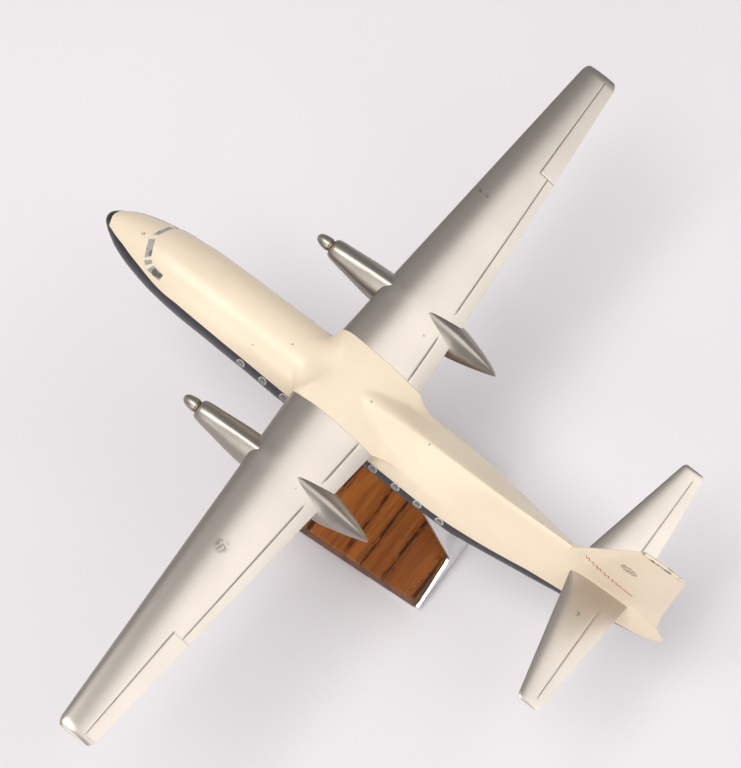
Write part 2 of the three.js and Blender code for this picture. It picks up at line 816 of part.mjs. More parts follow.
// The machine screw's head lies under the tab, its shank passes up into the insert.
function bellyScrew(station) {
  const { headRadius, headHeight, radius, length } = BELLY_SCREW;
  return standing(
    [
      [-GAP - headHeight, 0],
      [-GAP - headHeight, headRadius - 0.5],
      [-GAP - headHeight + 0.6, headRadius],
      [-GAP, headRadius],
      [-GAP, radius],
      [length, radius],
      [length, 0],
    ],
    vec(0, station, TAB_UNDER),
  );
}

const insertFoot = (station) => vec(0, station, KEEL_FLAT_HEIGHT + INSERT.recess);

function insert(station) {
  const hole = BELLY_SCREW.radius + PRESS_GAP;
  return standing(
    [
      [0, hole],
      [0, INSERT.radius],
      [INSERT.length, INSERT.radius],
      [INSERT.length, hole],
      [0, hole],
    ],
    insertFoot(station),
  );
}

function insertHole(station) {
  const radius = INSERT.radius + PRESS_GAP;
  return standing(
    [
      [-2, 0],
      [-2, radius],
      [INSERT.length + GAP, radius],
      [INSERT.length + GAP, 0],
    ],
    insertFoot(station),
  );
}

function bracket() {
  const strip = extruded(
    [...stripFace(0), ...stripFace(BRACKET.thickness).reverse()],
    BLOCK.width,
    ALONG_Y,
    ALONG_Z,
    ALONG_X,
  );
  const front = extruded(bracketOutline(), 600, ALONG_X, ALONG_Z, vec(0, -1, 0));
  const countersinks = blockScrewPlaces().map((at) => solid(blockScrew(at, PRESS_GAP)));
  const tabHoles = bellyScrewStations().map((station) => {
    const [low, high] = [onStand(station, TAB_UNDER - 1), onStand(station, KEEL_FLAT_HEIGHT)];
    const radius = BELLY_SCREW.radius + SCREW_GAP;
    return solid(bar(vec(0, low.x, low.y), vec(0, high.x, high.y), radius));
  });
  return cut(solid(strip).intersect(solid(front)), [...countersinks, ...tabHoles]);
}

// The wood block, rabbeted underneath for the foot and rounded where the foot turns up.
function block() {
  const { width, length, thickness, rear, edgeRound: round } = BLOCK;
  const [halfX, halfY] = [width / 2 - round, length / 2 - round];
  const shape = new THREE.Shape();
  const corner = 0.4;
  shape.absarc(halfX - corner, halfY - corner, corner, 0, Math.PI / 2);
  shape.absarc(corner - halfX, halfY - corner, corner, Math.PI / 2, Math.PI);
  shape.absarc(corner - halfX, corner - halfY, corner, Math.PI, 1.5 * Math.PI);
  shape.absarc(halfX - corner, corner - halfY, corner, 1.5 * Math.PI, 2 * Math.PI);
  const body = new THREE.ExtrudeGeometry(shape, {
    depth: thickness - 2 * round,
    bevelThickness: round,
    bevelSize: round,
    bevelSegments: 3,
    curveSegments: 2,
  }).translate(0, rear - length / 2, round);
  const ceiling = BRACKET.thickness + BRACKET.wallGap;
  const heel = BRACKET.bendRadius - ceiling;
  const centre = flat(rear - heel, ceiling + heel);
  const bend = Array.from({ length: BEND_STEPS + 1 }, (_, k) => {
    const angle = ((k / BEND_STEPS - 1) * Math.PI) / 2;
    return centre.clone().addScaledVector(flat(Math.cos(angle), Math.sin(angle)), heel);
  });
  const rabbet = [
    flat(FOOT_FRONT - BRACKET.wallGap, -1),
    flat(FOOT_FRONT - BRACKET.wallGap, ceiling),
    ...bend,
    flat(rear + 1, ceiling + heel),
    flat(rear + 1, -1),
  ];
  return cut(solid(body), [
    solid(extruded(rabbet, width + 2, ALONG_Y, ALONG_Z, ALONG_X)),
    ...blockScrewPlaces().map((at) => solid(blockScrew(at, PRESS_GAP))),
  ]);
}

// ---- Castings --------------------------------------------------------------------------------

const bothSides = (geometry) => [geometry, mirrored(geometry)];

// The fuselage, wing centre and fin as one shape, before they are cut apart.
function bodyShape() {
  return join([fuselageSkin(), centreSkin(WING), finSkin()].map(solid));
}

function fuselage(shape) {
  const strapRun = (FUSELAGE.radius + KEEL_FLAT_HEIGHT) * Math.tan(LEAN + NOSE_UP);
  const slots = bothSides(planeSkin(TAILPLANE, TAILPLANE.rootX - GAP, GAP));
  const keelFlat = box(
    vec(-FUSELAGE.radius, TAB_FRONT - 1, -2 * FUSELAGE.radius),
    vec(FUSELAGE.radius, TAB_REAR + strapRun + 1, KEEL_FLAT_HEIGHT),
  );
  const holes = [
    ...wingDowels(PRESS_GAP),
    ...tailDowels(PRESS_GAP),
    ...finDowels(PRESS_GAP),
    ...bellyScrewStations().map(insertHole),
  ];
  return cut(shape, [finRegion(GAP), ...[...slots, keelFlat, ...holes].map(solid)]);
}

const fin = (shape) =>
  cut(shape.intersect(finRegion(0)), finDowels(PRESS_GAP).map(solid));

const wingDowels = (grow = 0) => [
  crossDowel(WING, FRONT_SPAR, grow),
  crossDowel(WING, REAR_SPAR, grow),
];
const tailDowels = (grow = 0) => [
  crossDowel(TAILPLANE, FRONT_TAIL_DOWEL, grow),
  crossDowel(TAILPLANE, REAR_TAIL_DOWEL, grow),
];

const wing = () =>
  cut(solid(planeSkin(WING, WING.rootX + GAP)), [
    ...wingDowels(PRESS_GAP).map(solid),
    ...nacellePins(PRESS_GAP).map(solid),
  ]);
const tailplane = () =>
  cut(solid(planeSkin(TAILPLANE, TAILPLANE.rootX)), tailDowels(PRESS_GAP).map(solid));

// ---- Assembly --------------------------------------------------------------------------------

function add(group, name, material, shape) {
  const geometry = shape.isBufferGeometry ? shape : surface(shape);
  const mesh = new THREE.Mesh(geometry, MATERIALS[material].clone());
  mesh.name = name;
  group.add(mesh);
}

// The same piece on both sides of the airframe, made once on the port side.
function addPair(group, name, material, shape, ending = "") {
  const geometry = shape.isBufferGeometry ? shape : surface(shape);
  bothSides(geometry.index ? geometry : mergeVertices(geometry)).forEach((half, k) =>
    add(group, `${name}_${k ? "right" : "left"}${ending}`, material, half),
  );
}

function airframe() {
  const group = new THREE.Group();
  group.name = "airframe";
  const shape = bodyShape();
  add(group, "fuselage", "cream", fuselage(shape));
  add(group, "fin", "cream", fin(shape));
  addPair(group, "wing", "silver", wing());
  addPair(group, "tailplane", "silver", tailplane());
  addPair(group, "nacelle", "silver", nacelle(nacellePins(PRESS_GAP)));
  addPair(group, "spinner", "silver", spinner());
  addPair(group, "collar", "brass", collar());
  addPair(group, "shaft", "steel", shaft());
  addPair(group, "shaft_clip", "steel", clip());
  addPair(group, "bush", "brass", bush());
  nacellePins().forEach((pin, k) =>
    addPair(group, "nacelle_pin", "steel", pin, k ? "_rear" : "_front"),
  );
  const ends = ["front", "rear"];
  wingDowels().forEach((rod, k) => add(group, `wing_dowel_${ends[k]}`, "steel", rod));
  tailDowels().forEach((rod, k) => add(group, `tailplane_dowel_${ends[k]}`, "steel", rod));
  finDowels().forEach((rod, k) => add(group, `fin_dowel_${ends[k]}`, "steel", rod));
  bellyScrewStations().forEach((station, k) => {
    add(group, `belly_screw_${ends[k]}`, "steel", bellyScrew(station));
    add(group, `belly_insert_${ends[k]}`, "brass", insert(station));
  });
  group.rotation.x = -NOSE_UP;
  group.position.set(0, -BALANCE_STATION, AXIS_HEIGHT);
  return group;
}

function stand() {
  const group = new THREE.Group();
  group.name = "stand";
  add(group, "stand_bracket", "aluminium", bracket());
  add(group, "stand_block", "wood", block());
  blockScrewPlaces().forEach((at, k) =>
    add(group, `block_screw_${k + 1}`, "steel", blockScrew(at)),
  );
  return group;
}

const model = new THREE.Group();
model.name = "desktop_airliner";
model.add(airframe(), stand());

export default model;
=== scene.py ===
"""A desktop model of a high-wing twin-turboprop airliner on a wood block and a bent bracket.

Sizes are in millimetres of the level airframe: x to the port wing tip, s the station aft of the
nose tip, z up from the fuselage axis. `settled` turns them into metres on the stand.
"""

import math

import bmesh
import bpy
import numpy as np
from bpy.props import FloatProperty, FloatVectorProperty, IntProperty, PointerProperty
from mathutils import Matrix


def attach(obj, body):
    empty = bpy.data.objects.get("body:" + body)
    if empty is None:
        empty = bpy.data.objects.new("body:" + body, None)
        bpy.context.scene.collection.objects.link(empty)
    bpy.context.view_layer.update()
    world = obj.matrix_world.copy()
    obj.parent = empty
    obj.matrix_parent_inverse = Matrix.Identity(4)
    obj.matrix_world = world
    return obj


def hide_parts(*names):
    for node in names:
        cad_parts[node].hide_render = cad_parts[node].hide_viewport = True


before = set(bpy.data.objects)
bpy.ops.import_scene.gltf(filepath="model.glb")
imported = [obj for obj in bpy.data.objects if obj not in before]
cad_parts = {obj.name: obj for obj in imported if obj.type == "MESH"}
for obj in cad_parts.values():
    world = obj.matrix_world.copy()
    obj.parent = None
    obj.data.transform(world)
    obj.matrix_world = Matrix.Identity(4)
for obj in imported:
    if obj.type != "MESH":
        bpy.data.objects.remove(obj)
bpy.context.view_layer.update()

bl_info = {
    "name": "Desktop Airliner Model",
    "version": (1, 0, 0),
    "blender": (4, 5, 0),
    "location": "3D View > Sidebar > Airliner",
    "description": "Builds the skins, windows and finishes of a desk model airliner on its stand",
    "category": "Add Mesh",
}

PITCH = math.radians(16)
BALANCE_STATION = 208.8
AXIS_HEIGHT = 215.2
LENGTH = 465.5
RADIUS = 26.5
NOSE_LENGTH = 115.0
TAIL_LENGTH = 175.0
TAIL_START = LENGTH - TAIL_LENGTH
NOSE_DROP = 2.3
WAIST_DROOP = 8.0
CREST_START = 150.0
ROOT_X = 27.0
FIN_SEAT = LENGTH - 86.0
HUB_X = 72.5
HUB_Z = 17.2
NACELLE_FRONT = 132.1
NACELLE_TAIL = 271.8

WING = dict(
    root_x=27.0, semi_span=288.5, leading=173.1, height=25.0, root_chord=66.4, tip_chord=26.0,
    sweep=3.6, dihedral=2.54, root_turn=5.1, tip_turn=-0.2, root_thick=0.21, tip_thick=0.15,
    camber=0.02, edge=0.9, tip_round=7.0,
)
TAILPLANE = dict(
    root_x=3.0, semi_span=98.0, leading=LENGTH - 79.5, height=23.7, root_chord=44.9,
    tip_chord=15.9, sweep=12.0, dihedral=5.2, root_turn=0.0, tip_turn=0.0, root_thick=0.13,
    tip_thick=0.12, camber=0.0, edge=0.7, tip_round=4.0,
)


# ---- Curves and frames ----


def through(knots, at):
    """A curve through knots that never overshoots: cubic Hermite spans whose end slopes are the
    harmonic means of the neighbouring chords' slopes."""
    x, y = np.array(knots, float).T
    chord = np.diff(y) / np.diff(x)
    before, after = chord[:-1], chord[1:]
    both = before * after
    inner = np.where(both > 0, 2 * both / np.where(both > 0, before + after, 1), 0)
    slope = np.concatenate([chord[:1], inner, chord[-1:]])
    at = np.clip(np.asarray(at, float), x[0], x[-1])
    i = np.clip(np.searchsorted(x, at, side="right") - 1, 0, len(x) - 2)
    span = x[i + 1] - x[i]
    t = (at - x[i]) / span
    rest = 1 - t
    return (
        y[i] * (1 + 2 * t) * rest**2
        + slope[i] * span * t * rest**2
        + y[i + 1] * t**2 * (3 - 2 * t)
        - slope[i + 1] * span * t**2 * rest
    )


def settled(level):
    """Level millimetres to metres on the stand: a turn about x by the pitch, then a lift."""
    x, s, z = np.moveaxis(np.asarray(level, float), -1, 0)
    y = s * math.cos(PITCH) + z * math.sin(PITCH) - BALANCE_STATION
    up = z * math.cos(PITCH) - s * math.sin(PITCH) + AXIS_HEIGHT
    return np.stack([x, y, up], -1) / 1000


def smooth_max(a, b, soft):
    """The larger of two values with a rounded change-over: half of sum plus root of gap squared."""
    return 0.5 * (a + b + np.sqrt((a - b) ** 2 + soft**2))


def spread(*stretches):
    """One rising row of values from (start, end, count) stretches that share their ends."""
    rows = [np.linspace(a, b, n, endpoint=False) for a, b, n in stretches]
    return np.concatenate([*rows, [stretches[-1][1]]])


# ---- Meshes ----


def woven(rows, cols, wrap=True):
    """Quads over a grid of rows by cols points, as an array, closed round each row when wrapped."""
    i = np.arange(rows - 1)[:, None] * cols
    j = np.arange(cols if wrap else cols - 1)[None, :]
    k = (j + 1) % cols
    return np.stack([i + j, i + k, i + cols + k, i + cols + j], -1).reshape(-1, 4)


def tube(grid):
    """Points and faces of a skin over rings, with a fan to the middle of each end ring."""
    rows, cols = grid.shape[:2]
    total = rows * cols
    j = np.arange(cols)
    k = (j + 1) % cols
    first = np.stack([k, j, np.full(cols, total)], -1)
    last = np.stack([j + total - cols, k + total - cols, np.full(cols, total + 1)], -1)
    faces = woven(rows, cols).tolist() + first.tolist() + last.tolist()
    return np.concatenate([grid.reshape(-1, 3), grid[[0, -1]].mean(1)]), faces


def ring_field(values, ends=(0.0, 0.0)):
    """A number at each point of a tube's rings, run on to the middles of its two ends."""
    return np.concatenate([values.ravel(), ends])


def piece(name, points, faces, fields=None, sharp=40.0):
    """A finished mesh object at the origin. Its points come in airframe millimetres, which are
    kept as the attribute "level"; `fields` holds more point attributes."""
    mesh = bpy.data.meshes.new(name)
    mesh.from_pydata(settled(points).tolist(), [], faces)
    for label, values in {"level": points, **(fields or {})}.items():
        values = np.asarray(values, np.float32)
        kind, slot = ("FLOAT_VECTOR", "vector") if values.ndim == 2 else ("FLOAT", "value")
        mesh.attributes.new(label, kind, "POINT").data.foreach_set(slot, values.ravel())
    tidy(mesh, sharp)
    made = bpy.data.objects.new(name, mesh)
    bpy.context.scene.collection.objects.link(made)
    return made


def tidy(mesh, sharp, merge=1e-7):
    """Merges doubled points, turns all faces outwards and shades smooth except at sharp edges."""
    work = bmesh.new()
    work.from_mesh(mesh)
    bmesh.ops.remove_doubles(work, verts=work.verts, dist=merge)
    bmesh.ops.recalc_face_normals(work, faces=work.faces)
    if work.calc_volume(signed=True) < 0:
        bmesh.ops.reverse_faces(work, faces=work.faces)
    work.to_mesh(mesh)
    work.free()
    mesh.shade_smooth()
    mesh.set_sharp_from_angle(angle=math.radians(sharp))


def finish_piece(made, material, stands_for=(), body="model"):
    """Gives a piece its finish, hides the CAD parts it stands for, and ties it to its body."""
    made.data.materials.append(material)
    if stands_for:
        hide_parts(*stands_for)
    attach(made, body)


def as_port(points):
    """The port side as it is."""
    return points


def mirrored(points):
    """The starboard side: x changes sign."""
    return points * np.array([-1.0, 1.0, 1.0])


SIDES = (("left", as_port), ("right", mirrored))


# ---- Fuselage ----

NOSE_SHARE = [
    (0, 0.0), (0.003, 0.07), (0.01, 0.135), (0.03, 0.225), (0.08, 0.375), (0.17, 0.575),
    (0.3, 0.745), (0.5, 0.905), (0.72, 0.98), (1, 1),
]
TAIL_SHARE = [
    (0, 1), (0.08, 0.99), (0.22, 0.905), (0.45, 0.715), (0.68, 0.478), (0.88, 0.265), (0.95, 0.15),
    (0.98, 0.08), (0.995, 0.035), (1, 0.0),
]
WAIST_SHARE = [
    (-0.45, 0), (0, 0.7), (0.15, 1), (0.3, 0.8), (0.45, 0.64), (0.68, 0.31), (0.88, 0.1), (1, 0),
]
KEEL_SHARE = [(-0.45, 1), (0, 0.78), (0.2, 0.76), (0.45, 0.84), (0.68, 0.94), (0.9, 1)]
CREST = [
    (CREST_START, 26.5), (173.1, 28.9), (193, 33.4), (213, 34.8), (239.5, 35.2), (264, 34.3),
    (292, 35.8), (320, 38.4), (351, 43.1), (379.5, 47.3), (428.7, 39.3), (449.8, 23.6),
    (LENGTH, 4.7),
]
CREST_SOFTNESS = [(150, 0.45), (200, 0.3), (235, 0.16), (264, 0.06), (300, 0.035), (LENGTH, 0.03)]
FLANK_SHARE = [(100, 0), (135, 0.03), (165, 0.075), (265, 0.085), (310, 0.05), (360, 0)]
FLANK_FORM = [(62, 0), (82, 0.3), (100, 0.9), (112, 1), (125, 0.9), (155, 0), (180, 0)]


def tail_share(s):
    """How far along the tail a station is, from 0 at its start to 1 at its end."""
    return (s - TAIL_START) / TAIL_LENGTH


def half_width(s):
    """Widest half width at a station: nose share to its length, tail share behind its start."""
    nose = RADIUS * through(NOSE_SHARE, s / NOSE_LENGTH)
    tail = RADIUS * through(TAIL_SHARE, tail_share(s))
    return np.where(s < NOSE_LENGTH, nose, tail)


def waist(s):
    """Height of the widest line: it droops at the nose and again behind the wing."""
    nose = NOSE_DROP * (1 - np.clip(s / (1.3 * NOSE_LENGTH), 0, 1))
    return -nose - WAIST_DROOP * through(WAIST_SHARE, tail_share(s))


def hull_reach(s, angle):
    """Distance from the waist to the skin: the circle, drawn out to the crest by its tangents and
    made fuller on the flanks by a share of the radius."""
    radius = half_width(s)
    reach = np.maximum(1 + 1e-6, (through(CREST, s) - waist(s)) / np.maximum(radius, 1e-3))
    touch = np.arccos(1 / reach)
    off = np.hypot(angle, through(CREST_SOFTNESS, s))
    out = np.where((off < touch) & (s > CREST_START), 1 / np.cos(np.clip(touch - off, 0, 1.5)), 1)
    full = 1 + through(FLANK_SHARE, s) * through(FLANK_FORM, np.degrees(np.abs(angle)))
    return radius * out * full


def section_form(c):
    """Half thickness of a round-nosed section per unit of full thickness: a root and a quartic."""
    return 1.4845 * np.sqrt(c) - 0.63 * c - 1.758 * c**2 + 1.4215 * c**3 - 0.518 * c**4


def planform(plane, x):
    """Distance out from the root, its share of the half span, the chord and the leading edge."""
    out = np.maximum(0, x - plane["root_x"])
    share = out / (plane["semi_span"] - plane["root_x"])
    chord = plane["root_chord"] + share * (plane["tip_chord"] - plane["root_chord"])
    return out, share, chord, plane["leading"] + out * math.tan(math.radians(plane["sweep"]))


TIP_TRIM = 0.55


def wing_section(plane, x, c, side, cut=0.0):
    """A point of a wing's skin: along the chord by share c, up or down by half the thickness, then
    turned by the incidence. Near the tip thickness and chord close by the root of one less the
    square of the way out. `cut` thins the skin for a groove."""
    out, share, chord, leading = planform(plane, x)
    turn = np.radians(plane["root_turn"] + share * (plane["tip_turn"] - plane["root_turn"]))
    thick = plane["root_thick"] + share * (plane["tip_thick"] - plane["root_thick"])
    height = plane["height"] + out * math.tan(math.radians(plane["dihedral"]))
    tip = np.clip((x - plane["semi_span"] + plane["tip_round"]) / plane["tip_round"], 0, 1)
    close = np.sqrt(np.clip(1 - tip**2, 0, 1))
    trim = TIP_TRIM * plane["tip_round"] * (1 - close)
    along = trim + c * (chord - 2 * trim)
    half = close * (thick * chord * section_form(c) + plane["edge"] / 2 * c) - cut
    lift = plane["camber"] * chord * 4 * c * (1 - c) + side * half
    s = leading + along * np.cos(turn) + lift * np.sin(turn)
    z = height - along * np.sin(turn) + lift * np.cos(turn)
    return np.stack(np.broadcast_arrays(x, s, z), -1)


UNDER_FADE = 0.16


def slab_reach(s, angle):
    """Distance from the waist to the wing's centre slab, and the upper and lower angle of its end
    face. Below the end face the slab dies away into the hull over a narrow angle."""
    c = np.linspace(0, 1, 400) ** 2
    over = wing_section(WING, np.full_like(c, ROOT_X), c, 1)
    under = wing_section(WING, np.full_like(c, ROOT_X), c, -1)
    top = np.interp(s, over[:, 1], over[:, 2]) - waist(s)
    low = np.interp(s, under[:, 1], under[:, 2]) - waist(s)
    upper = np.arctan2(ROOT_X, top)
    lower = np.maximum(np.arctan2(ROOT_X, low), upper + 0.03)
    away = np.abs(angle)
    roof = top / np.maximum(np.cos(away), 1e-3)
    wall = ROOT_X / np.maximum(np.sin(away), 1e-3)
    reach = np.where(away <= upper + 1e-6, roof, wall)
    below = np.clip(1 - (away - lower) / UNDER_FADE, 0, 1) ** 2
    hull = hull_reach(s, angle)
    fade = np.where(away > lower + 1e-6, below, 1)
    return hull + (reach - hull) * fade, upper, lower


LEADING = 173.5
TRAILING = 239.3
LEADING_FILLET, LEADING_POWER = 7.0, 2.3
TRAILING_FILLET, TRAILING_POWER = 26.0, 2.4
CROWN_COSINE = 0.74
CROWN_FILLET = 28.0
CROWN_SETBACK = 11.0
JOINT_SOFTNESS = 1.2
SHOULDER_SOFTNESS, SHOULDER_AFT, SHOULDER_LENGTH = 8.0, 4.0, 11.0


def body_reach(s, angle):
    """The hull and the wing's centre slab joined by a rounded maximum. Ahead of the leading edge
    and behind the trailing edge the slab's gap over the hull, and with it the rounding, dies away
    as a power. Near the crest the slab begins further aft. The rounding is widest at the shoulders
    of the leading edge, by a bell curve of the station."""
    crown = np.clip((np.cos(angle) - CROWN_COSINE) / (1 - CROWN_COSINE), 0, 1)
    lead = LEADING + CROWN_SETBACK * crown
    held = np.clip(s, lead, TRAILING)
    slab, _, lower = slab_reach(held, angle)
    longer = LEADING_FILLET + CROWN_FILLET * crown
    ahead = (1 - np.clip((lead - s) / longer, 0, 1)) ** LEADING_POWER
    behind = np.clip(1 - (s - TRAILING) / TRAILING_FILLET, 0, 1) ** TRAILING_POWER
    fade = np.minimum(ahead, behind)
    gap = (slab - hull_reach(held, angle)) * fade
    away = np.abs(angle)
    bell = np.exp(-(((s - LEADING - SHOULDER_AFT) / SHOULDER_LENGTH) ** 2))
    end = np.clip((lower + UNDER_FADE - away) / 0.5, 0, 1) * np.clip(away / 0.45, 0.12, 1)
    soft = (JOINT_SOFTNESS + SHOULDER_SOFTNESS * bell) * fade * end
    return hull_reach(s, angle) + 0.5 * (gap + np.sqrt(gap**2 + soft**2))


def skin_point(s, angle, proud=0.0):
    """A point of the fuselage skin at a station and an angle from the crest, lifted by `proud`."""
    reach = body_reach(s, angle) + proud
    depth = np.where(np.cos(angle) < 0, through(KEEL_SHARE, tail_share(s)), 1)
    return np.stack(
        np.broadcast_arrays(reach * np.sin(angle), s, waist(s) + reach * depth * np.cos(angle)), -1
    )


BAND_TOP = [
    (0, -2.6), (4, 0.6), (9, 3.2), (25, 7.8), (42, 8.4), (62, 7.6), (78, 9.0), (104, 8.6),
    (130, 7.9), (156, 6.9), (238, 3.0), (258, 1.6), (290, -0.6), (322, -1.3), (353, 0.6),
    (369, 1.6), (384, 1.3), (400, 0.4), (LENGTH, -1.5),
]
BAND_LOW = [(0, -2.7), (20, -9.5), (60, -13), (240, -13), (330, -14), (400, -9), (LENGTH, -2)]


def fuselage_grid():
    """Rings of angles that follow the corners of the wing's end face, at stations set closer where
    the nose, the wing's edges and the tail end curve most."""
    s = spread(
        (0, 1.2, 6),
        (1.2, 8, 12),
        (8, 40, 22),
        (40, 160, 44),
        (160, 172.5, 14),
        (172.5, 180, 20),
        (180, 236, 36),
        (236, 242, 10),
        (242, 268, 16),
        (268, 450, 84),
        (450, 464, 12),
        (464, LENGTH, 8),
    )
    held = np.clip(s, LEADING, TRAILING)
    _, upper, lower = slab_reach(held, np.zeros_like(held))
    stops = [np.zeros_like(s), upper, lower, lower + UNDER_FADE, np.full_like(s, math.pi)]
    half = []
    for (a, b), n in zip(zip(stops, stops[1:]), (30, 7, 5, 26)):
        t = np.arange(n) / n
        half.append(a[:, None] + (b - a)[:, None] * t)
    half = np.concatenate([*half, stops[-1][:, None]], 1)
    angle = np.concatenate([half, -half[:, -2:0:-1]], 1)
    return np.broadcast_to(s[:, None], angle.shape), angle


def fuselage_points():
    """The skin's points over the fuselage's grid of stations and angles."""
    return skin_point(*fuselage_grid())


# ---- Fin ----

FIN_TOP = 117.3
FIN_RISE = 3.2
FIN_SWEEP = 28.5
FIN_THICK, FIN_TOP_THICK = 7.4, 2.5
FIN_BLEND, FIN_BLEND_TOP = 20.0, 60.0
CREST_AT_FIN = 47.3
FIN_TRAILING = [
    (0, LENGTH - 0.6), (5, LENGTH - 3.5), (12.3, LENGTH - 8.2), (27.4, LENGTH - 12.7),
    (45.7, LENGTH - 15.7), (120.5, LENGTH - 26),
]


def fin_grid():
    """Rings of a lens section at rising heights. Low down the lens widens into the tent of the
    fuselage's crest; at the top a narrow bevel closes it under a flat lid that rises aft."""
    z = spread((1, FIN_BLEND, 10), (FIN_BLEND, FIN_BLEND_TOP, 40), (FIN_BLEND_TOP, FIN_TOP, 24))
    inset = np.concatenate([np.zeros_like(z), [0.35, 0.9]])
    z = np.concatenate([z, [FIN_TOP + 0.3, FIN_TOP + 0.42]])
    c = (1 - np.cos(np.linspace(0, math.pi, 44))) / 2
    leading = FIN_SEAT + (z - CREST_AT_FIN) / (FIN_TOP - CREST_AT_FIN) * FIN_SWEEP + inset
    trailing = through(FIN_TRAILING, z) - inset
    s = leading[:, None] + (trailing - leading)[:, None] * c
    part = np.clip((z - FIN_BLEND) / (FIN_TOP - FIN_BLEND), 0, 1)
    thick = FIN_THICK + (FIN_TOP_THICK - FIN_THICK) * part
    half = np.maximum(thick[:, None] * section_form(c) + 0.4 * c - inset[:, None], 0.02)
    z = z[:, None]
    apex = through(CREST, s)
    lean = np.arcsin(np.clip(half_width(s) / np.maximum(apex - waist(s), 1), 0, 0.99))
    open_up = np.clip(1 - c, 0, 1) ** 0.2
    tent = np.clip(apex - z, 0, None) * np.tan(lean) * open_up * 0.985
    half = np.where(z < FIN_BLEND_TOP, smooth_max(half, tent, 1.2 * open_up), half)
    port = np.stack([half, s, z + FIN_RISE * c * np.clip((z - 40) / (FIN_TOP - 40), 0, 1)], -1)
    return np.concatenate([port, mirrored(port[:, ::-1])], 1)


# ---- Wings ----

GROOVE_HALF = 0.17
GROOVE_DEPTH = 0.11
SWELL_HALF = 6.0


def run_on(route, x):
    """A line through (x, s) points, run on past both ends at its mean slope."""
    rx, rs = np.array(route, float).T
    past = np.minimum(0, x - rx[0]) + np.maximum(0, x - rx[-1])
    return np.interp(x, rx, rs) + past * (rs[-1] - rs[0]) / (rx[-1] - rx[0])


def plane_skin(plane, root_x, lines, ends, swell=0.0):
    """A wing half as rings round its section, with V grooves where the control surfaces are
    scribed. `lines` are (x ranges, [(x, s)...], strength) of spanwise grooves, and `ends` are
    (x, strength) of grooves that run from the first line to the trailing edge. `swell` lifts the
    upper skin over the nacelle by a bell curve of the distance out."""
    start = plane["semi_span"] - plane["tip_round"]
    bend = np.sin(np.linspace(0.08, math.pi / 2 - 0.02, 14))
    x = np.concatenate([np.linspace(root_x, start, 110), start + plane["tip_round"] * bend])
    for place, _ in ends:
        x = x[np.abs(x - place) > 1.5 * GROOVE_HALF]
        x = np.sort(np.concatenate([x, [place - GROOVE_HALF, place, place + GROOVE_HALF]]))
    _, _, chord, leading = planform(plane, x)
    shares = [np.zeros_like(x)]
    for _, route, _ in lines:
        at = (run_on(route, x) - leading) / chord
        shares += [at - GROOVE_HALF / chord, at, at + GROOVE_HALF / chord]
    shares.append(np.ones_like(x))
    counts = [26] + [1, 1, 7] * len(lines)
    rows, marks = [], []
    for k, (a, b) in enumerate(zip(shares, shares[1:])):
        t = np.arange(counts[k]) / counts[k]
        t = t**1.7 if k == 0 else t
        rows.append(a[:, None] + (b - a)[:, None] * t)
        marks += [k] + [-1] * (counts[k] - 1)
    c = np.concatenate([*rows, shares[-1][:, None]], 1)
    marks = np.array([*marks, -1])
    scribed = np.zeros_like(c)
    for n, (spans, _, strength) in enumerate(lines):
        inside = np.any([(x >= a) & (x <= b) for a, b in spans], 0)
        scribed[:, marks == 2 + 3 * n] = (strength * inside)[:, None]
    first = np.argmax(marks == 2)
    for place, strength in ends:
        column = np.argmin(np.abs(x - place))
        scribed[column, first:] = np.maximum(scribed[column, first:], strength)
    over = wing_section(plane, x[:, None], c, 1, GROOVE_DEPTH * scribed)
    under = wing_section(plane, x[:, None], c, -1, GROOVE_DEPTH * scribed)
    bell = np.exp(-(((x[:, None] - HUB_X) / SWELL_HALF) ** 2))
    over[..., 2] += swell * bell * np.clip(c / 0.06, 0, 1) * np.clip((0.55 - c) / 0.35, 0, 1)
    ring = np.concatenate([over[:, ::-1], under[:, 1:]], 1)
    return ring, np.concatenate([scribed[:, ::-1], scribed[:, 1:]], 1)


WING_LINES = [
    ([(200.6, 284.3)], [(27, 216.5), (201, 210.9), (284.3, 207.7)], 1.0),
    (
        [(28.3, 64), (85, 200.9)],
        [
            (28.3, 228.3), (64.1, 226.2), (85.2, 225.5), (167.4, 220.4), (199.9, 218.2),
            (204.5, 219.2), (275.5, 213.6),
        ],
        1.0,
    ),
]
TAIL_LINES = [([(17.6, 91)], [(17.6, 417.2), (91, 417.0)], 0.8)]


# ---- Nacelles and propeller hubs ----

NACELLE_WIDTH = [
    (0, 5.4), (0.004, 6.2), (0.02, 7.2), (0.1, 8.6), (0.3, 11.3), (0.5, 11.8), (0.73, 11.4),
    (0.86, 7.55), (0.95, 3.5), (0.99, 1.2), (1, 0.3),
]
NACELLE_TOP = [
    (0, 22.6), (0.004, 23.4), (0.02, 24.3), (0.12, 26.6), (0.3, 30.6), (0.42, 32.0), (0.54, 30.8),
    (0.72, 28.0), (0.85, 22.8), (0.95, 17.2), (0.99, 13.4), (1, 11.6),
]
NACELLE_BELLY = [
    (0, 11.8), (0.004, 11.0), (0.02, 9.8), (0.14, 4.7), (0.34, -1.8), (0.56, -1.8), (0.75, 2.0),
    (0.9, 7.6), (0.98, 10.6), (1, 11.0),
]
BORE_RADIUS = 3.5
BORE_DEPTH = 17.3


